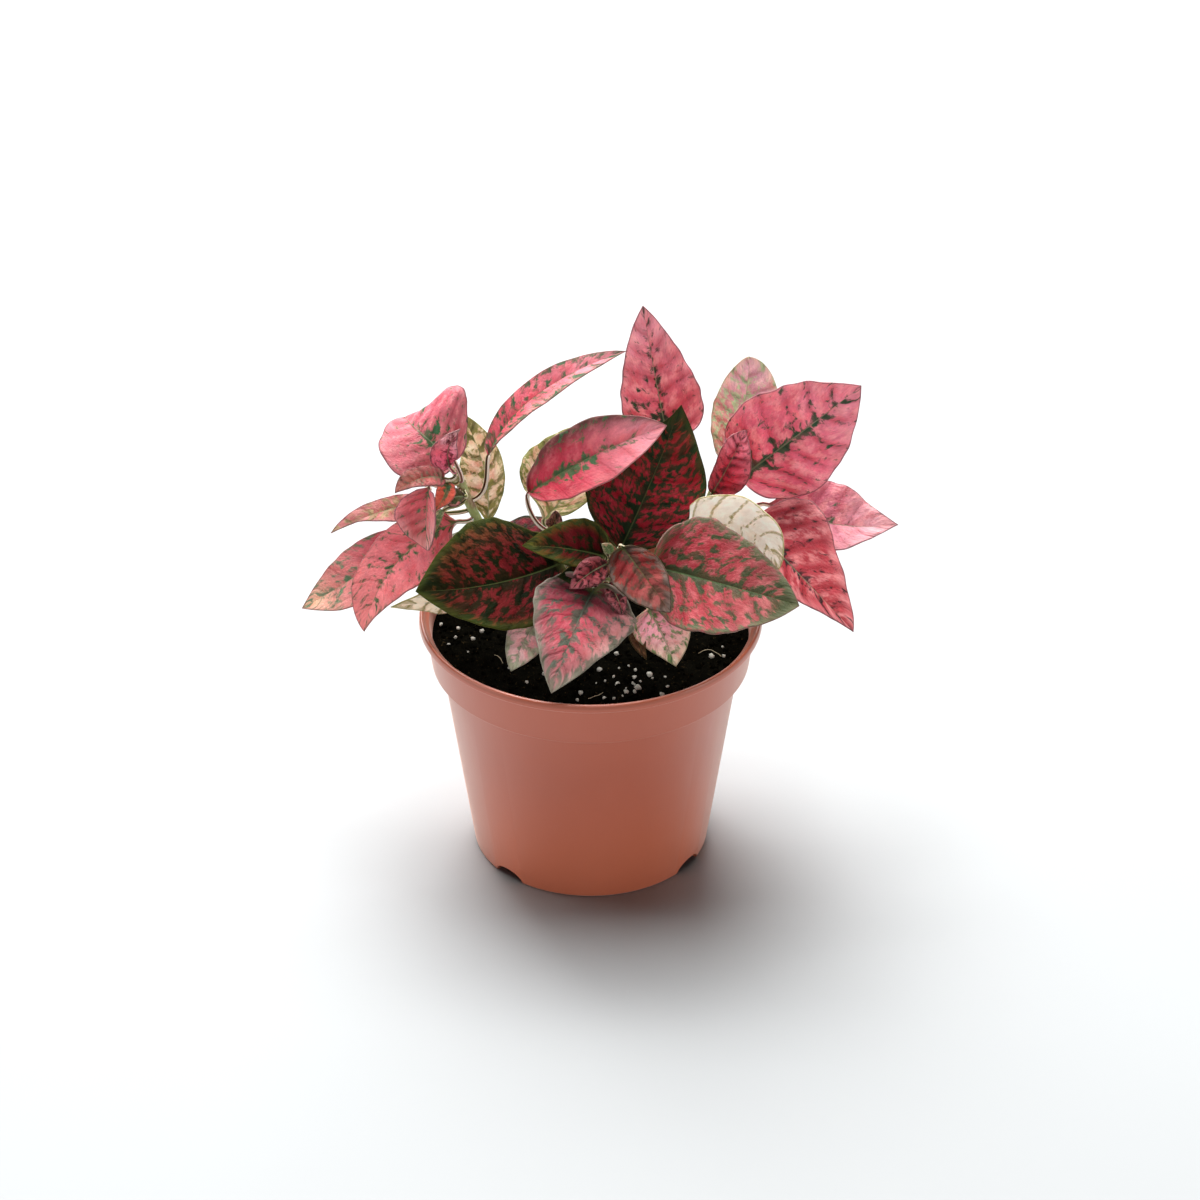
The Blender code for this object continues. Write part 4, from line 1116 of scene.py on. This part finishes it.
def make_mix_material():
    mat, tree, shader = new_material("peat", Roughness=1, Specular_IOR_Level=0)
    place = object_place(tree)
    tone, _ = mottle(tree, place, 160, 2.6, rgba(settings().mix.colour))
    fibres = noise(tree, place, 900, 5, 0.7)
    flecked = blend(tree, slope(tree, fibres, 0.6, 0.72), 1, tone, "453824")
    cover(tree, shader, flecked, fibres, 0.8, 0.9)
    return mat


def make_mottled_material(name, colour, scale, amount, roughness, depth, strength):
    mat, tree, shader = new_material(name, Roughness=roughness)
    tone, mask = mottle(tree, object_place(tree), scale, amount, rgba(colour))
    cover(tree, shader, tone, mask, depth, strength)
    return mat


def make_mix_body(mat):
    """The mix as one closed body: a lumpy top, and its side and bottom inside the cup."""
    low, high = MIX_BOX[0].z / MM, MIX_BOX[1].z / MM
    radius = MIX_BOX[1].x / MM
    obj, flat = grid_piece("peat", 150, 150)
    x, y = flat[:, 0].copy(), flat[:, 1].copy()
    flat[:, 0] = x * np.sqrt(1 - y * y / 2) * radius * MM
    flat[:, 1] = y * np.sqrt(1 - x * x / 2) * radius * MM
    share = np.hypot(flat[:, 0], flat[:, 1]) / (radius * MM)
    flat[:, 2] = (MIX_EDGE + (high - MIX_EDGE - MIX_BELOW_BOX) * (1 - share ** 2)) * MM
    obj.data.vertices.foreach_set("co", flat.ravel())
    obj.data.update()
    inner = obj.vertex_groups.new(name="top")
    for index, place in enumerate(share):
        inner.add([index], float(smooth(1 - place, 0, 0.05)), 'REPLACE')
    for name, size, strength in MIX_LUMPS:
        texture = bpy.data.textures.new(name, 'CLOUDS')
        texture.noise_scale = size * MM
        texture.noise_depth = 3
        apply_modifier(obj, 'DISPLACE', name, texture=texture, strength=strength * MM,
                       mid_level=0.5, direction='Z', vertex_group="top")
    edit_all()
    bpy.ops.mesh.region_to_loop()
    side = [(radius, MIX_EDGE), (radius - 0.6, 75.6), (50.4, 72.6), (39.4, low + 1.2),
            (38, low + 0.1)]
    follow_profile(side, bpy.ops.mesh.extrude_edges_move)
    bpy.ops.mesh.edge_face_add()
    end_closed()
    obj.vertex_groups.clear()
    obj.data.materials.append(mat)
    shade_smooth(obj, 50)
    return obj


def drop_on(ground, x, y):
    """The point of the mix under this place, or None where there is no mix."""
    hit, point, _, _ = ground.ray_cast(Vector((x * MM, y * MM, ABOVE_THE_MIX * MM)), DOWN)
    return np.array(point) / MM if hit else None


def free_spots(count, draw, ground, margin, clear=2.6, clumped=0):
    """Random places on the mix that keep clear of the stems, some of them beside another one."""
    radius = MIX_BOX[1].x / MM - margin
    feet = np.array([route[1][:2] for route, _, _ in STEMS.values()], float)
    places = []
    while len(places) < count:
        beside = places and draw.random() < clumped
        x, y = (places[draw.integers(len(places))][:2] + draw.normal(0, CLUMP_SPREAD, 2) if beside
                else draw.uniform(-radius, radius, 2))
        if math.hypot(x, y) > radius or np.min(np.hypot(*(feet - (x, y)).T)) < clear:
            continue
        place = drop_on(ground, x, y)
        if place is not None:
            places.append(place)
    return np.array(places)


def scatter(name, places, sizes, draw, mat, squash, detail, sink=0.25):
    """Small irregular lumps at the given places, as one mesh."""
    deselect()
    bpy.ops.mesh.primitive_ico_sphere_add(subdivisions=detail, radius=1)
    obj = name_piece(name)
    mesh = obj.data
    ball = np.array([vert.co for vert in mesh.vertices])
    faces = np.array([face.vertices for face in mesh.polygons])
    lumps = []
    for place, size in zip(places, sizes):
        lump = ball * (1 + draw.uniform(-0.28, 0.28, (len(ball), 1)))
        lump = lump * (size * draw.uniform(squash, 1, 3))
        turn, _ = np.linalg.qr(draw.normal(size=(3, 3)))
        turn = turn * np.sign(np.linalg.det(turn))
        lumps.append(lump @ turn.T + place + (0, 0, size * (0.5 - sink)))
    all_faces = np.vstack([faces + number * len(ball) for number in range(len(lumps))])
    mesh.clear_geometry()
    mesh.from_pydata((np.vstack(lumps) * MM).tolist(), [], all_faces.tolist())
    mesh.update()
    mesh.materials.append(mat)
    shade_smooth(obj)
    return obj


def make_threads(draw, ground, mat):
    """Fine dry roots that lie on the mix in low arches."""
    lines = []
    for start in free_spots(THREADS, draw, ground, margin=12, clear=5):
        heading, bend = draw.uniform(0, 2 * math.pi), draw.uniform(-0.22, 0.22)
        length = int(draw.integers(8, 15))
        place, line = start.copy(), []
        for step in range(length):
            lift = 0.9 * math.sin(math.pi * step / (length - 1))
            line.append(place + (0, 0, 0.5 + lift))
            heading += bend
            place = place + THREAD_STEP * np.array((math.cos(heading), math.sin(heading), 0))
            found = drop_on(ground, *place[:2])
            place[2] = place[2] if found is None else found[2]
        lines.append((line, [1] * length))
    return make_tubes("root_threads", lines, mat, radius=0.11, resolution=2, angle=60)


# ---------------------------------------------------------------- operators

class POTPLANT_OT_effects(bpy.types.Operator):
    """Makes the shader node groups that the finishes share"""
    bl_idname = "potplant.effects"
    bl_label = "Shared Effects"

    def execute(self, context):
        make_mottle_group()
        make_variegation_group()
        make_leaf_lines_group()
        return {'FINISHED'}


class POTPLANT_OT_pot(bpy.types.Operator):
    """Builds the nursery pot"""
    bl_idname = "potplant.pot"
    bl_label = "Pot"

    def execute(self, context):
        pot = make_pot()
        pot.data.materials.append(make_plastic_material())
        finish_piece(pot, "terracotta_plastic", "pot")
        return {'FINISHED'}


class POTPLANT_OT_mix(bpy.types.Operator):
    """Builds the potting mix with its crumbs, perlite and dry roots"""
    bl_idname = "potplant.mix"
    bl_label = "Potting Mix"

    def execute(self, context):
        mix = settings().mix
        draw = np.random.default_rng(mix.seed)
        peat = make_mix_material()
        perlite = make_mottled_material("perlite", mix.grain_colour, scale=420, amount=1.1,
                                        roughness=0.8, depth=0.3, strength=0.8)
        dry_root = make_mottled_material("dry_root", "a89a7e", scale=700, amount=0.8,
                                         roughness=0.7, depth=0.1, strength=0.5)
        ground = make_mix_body(peat)
        bpy.context.view_layer.update()
        spots = free_spots(mix.crumbs, draw, ground, margin=2.2)
        sizes = draw.uniform(0.5, 1.5, mix.crumbs)
        crumbs = scatter("crumbs", spots, sizes, draw, peat, squash=0.5, detail=1)
        spots = free_spots(mix.grains, draw, ground, margin=2.6, clumped=0.5)
        sizes = 0.4 + 0.75 * draw.uniform(0, 1, mix.grains) ** 1.6
        grains = scatter("perlite_grains", spots, sizes, draw, perlite, squash=0.6, detail=2,
                         sink=0)
        threads = make_threads(draw, ground, dry_root)
        finish_piece(ground, "potting_mix", "potting_mix")
        for piece in (crumbs, grains, threads):
            finish_piece(piece, "potting_mix")
        return {'FINISHED'}


class POTPLANT_OT_stems(bpy.types.Operator):
    """Builds the stems"""
    bl_idname = "potplant.stems"
    bl_label = "Stems"

    def execute(self, context):
        mat = make_stem_material()
        for name in STEMS:
            finish_piece(make_stem(name, mat), "stem", name)
        return {'FINISHED'}


class POTPLANT_OT_leaves(bpy.types.Operator):
    """Builds every leaf with its stalk"""
    bl_idname = "potplant.leaves"
    bl_label = "Leaves"

    def execute(self, context):
        materials = {name: make_blade_material("leaf_" + name, FINISHES[name]) for name in FINISHES}
        materials["underside"] = make_underside_material("leaf_underside", "ffeee0", "8a8644")
        for number, (name, leaf) in enumerate([*LEAVES.items(), *YOUNG_LEAVES.items()]):
            piece = make_leaf(name, leaf, number, materials)
            nodes = [name] if name in LEAVES else []
            finish_piece(piece, SLOTS.get(leaf["finish"], "leaf"), *nodes)
        return {'FINISHED'}


# Lights: name, place and side in metres, and share of the key power or of the fill power.
KEY_LIGHTS = (("sky_panel", (-0.3, 1.4, 1.8), 1.6, 1), ("top_panel", (0, 0.5, 2.2), 1.6, 0.8),
              ("left_top", (-0.7, 0.3, 1.3), 0.8, 0.06))
FILL_LIGHTS = (("left_strip", (-1.35, -0.5, 0.35), 0.6, 1),
               ("right_strip", (1.35, -0.5, 0.35), 0.6, 1.2), ("front_fill", (0, -1.6, 1), 1, 1.6))
LIGHTS_AIM = Vector((0, 0, 0.09))
CAMERA_AIM = Vector((3.3 * MM, 0, 97.3 * MM))
FLOOR_SIDE = 12
STUDIO_GLOW = 0.05


def turn_to(direction):
    return direction.to_track_quat('-Z', 'Y').to_euler()


def add_light(name, place, side, power):
    deselect()
    bpy.ops.object.light_add(type='AREA', location=place)
    light = bpy.context.object
    light.name = name
    light.rotation_euler = turn_to(LIGHTS_AIM - Vector(place))
    light.data.shape = 'SQUARE'
    light.data.size = side
    light.data.energy = power
    return light


def spare_the_floor(lights, floor):
    """The fill lights reach all but the floor, so that the shadow on it stays deep."""
    spared = bpy.data.collections.new("spared_by_fill")
    spared.objects.link(floor)
    spared.collection_objects[0].light_linking.link_state = 'EXCLUDE'
    for light in lights:
        light.light_linking.receiver_collection = spared


class POTPLANT_OT_stage(bpy.types.Operator):
    """Sets the floor, the lights and the camera"""
    bl_idname = "potplant.stage"
    bl_label = "Stage"

    def execute(self, context):
        stage = settings().stage
        deselect()
        bpy.ops.mesh.primitive_plane_add(size=FLOOR_SIDE, location=(0, 0, 0))
        floor = name_piece("floor")
        mat, _, _ = new_material("pale_floor", Base_Color=rgba(stage.floor_colour), Roughness=0.9,
                                 Specular_IOR_Level=0)
        floor.data.materials.append(mat)

        for *light, share in KEY_LIGHTS:
            add_light(*light, share * stage.key_power)
        fills = [add_light(*light, share * stage.fill_power) for *light, share in FILL_LIGHTS]
        spare_the_floor(fills, floor)

        world = bpy.data.worlds.new("studio")
        world.use_nodes = True
        sky = world.node_tree.nodes["Background"]
        sky.inputs["Color"].default_value = rgba("ffffff")
        sky.inputs["Strength"].default_value = STUDIO_GLOW

        data = bpy.data.cameras.new("camera")
        camera = bpy.data.objects.new("camera", data)
        data.lens = stage.lens
        data.sensor_width = 36
        data.clip_end = 30
        back = Vector((0, -math.cos(stage.elevation), math.sin(stage.elevation)))
        camera.location = CAMERA_AIM + back * stage.distance
        camera.rotation_euler = turn_to(-back)
        scene = context.scene
        scene.collection.objects.link(camera)
        scene.camera, scene.world = camera, world
        scene.view_settings.view_transform = 'Standard'
        return {'FINISHED'}


OPERATORS = (POTPLANT_OT_effects, POTPLANT_OT_pot, POTPLANT_OT_mix, POTPLANT_OT_stems,
             POTPLANT_OT_leaves, POTPLANT_OT_stage)


class POTPLANT_PT_panel(bpy.types.Panel):
    bl_label = "Pot Plant"
    bl_idname = "POTPLANT_PT_panel"
    bl_space_type = 'VIEW_3D'
    bl_region_type = 'UI'
    bl_category = "Pot Plant"

    def draw(self, context):
        for operator in OPERATORS:
            self.layout.operator(operator.bl_idname)


CLASSES = (PotSettings, MixSettings, PlantSettings, StageSettings, PotPlantSettings, *OPERATORS,
           POTPLANT_PT_panel)


def register():
    for cls in CLASSES:
        bpy.utils.register_class(cls)
    bpy.types.Scene.pot_plant = PointerProperty(type=PotPlantSettings)


def unregister():
    del bpy.types.Scene.pot_plant
    for cls in reversed(CLASSES):
        bpy.utils.unregister_class(cls)


def main():
    register()
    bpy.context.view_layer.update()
    bpy.ops.potplant.effects()
    bpy.ops.potplant.pot()
    bpy.ops.potplant.mix()
    bpy.ops.potplant.stems()
    bpy.ops.potplant.leaves()
    bpy.ops.potplant.stage()


if __name__ == "__main__":
    main()
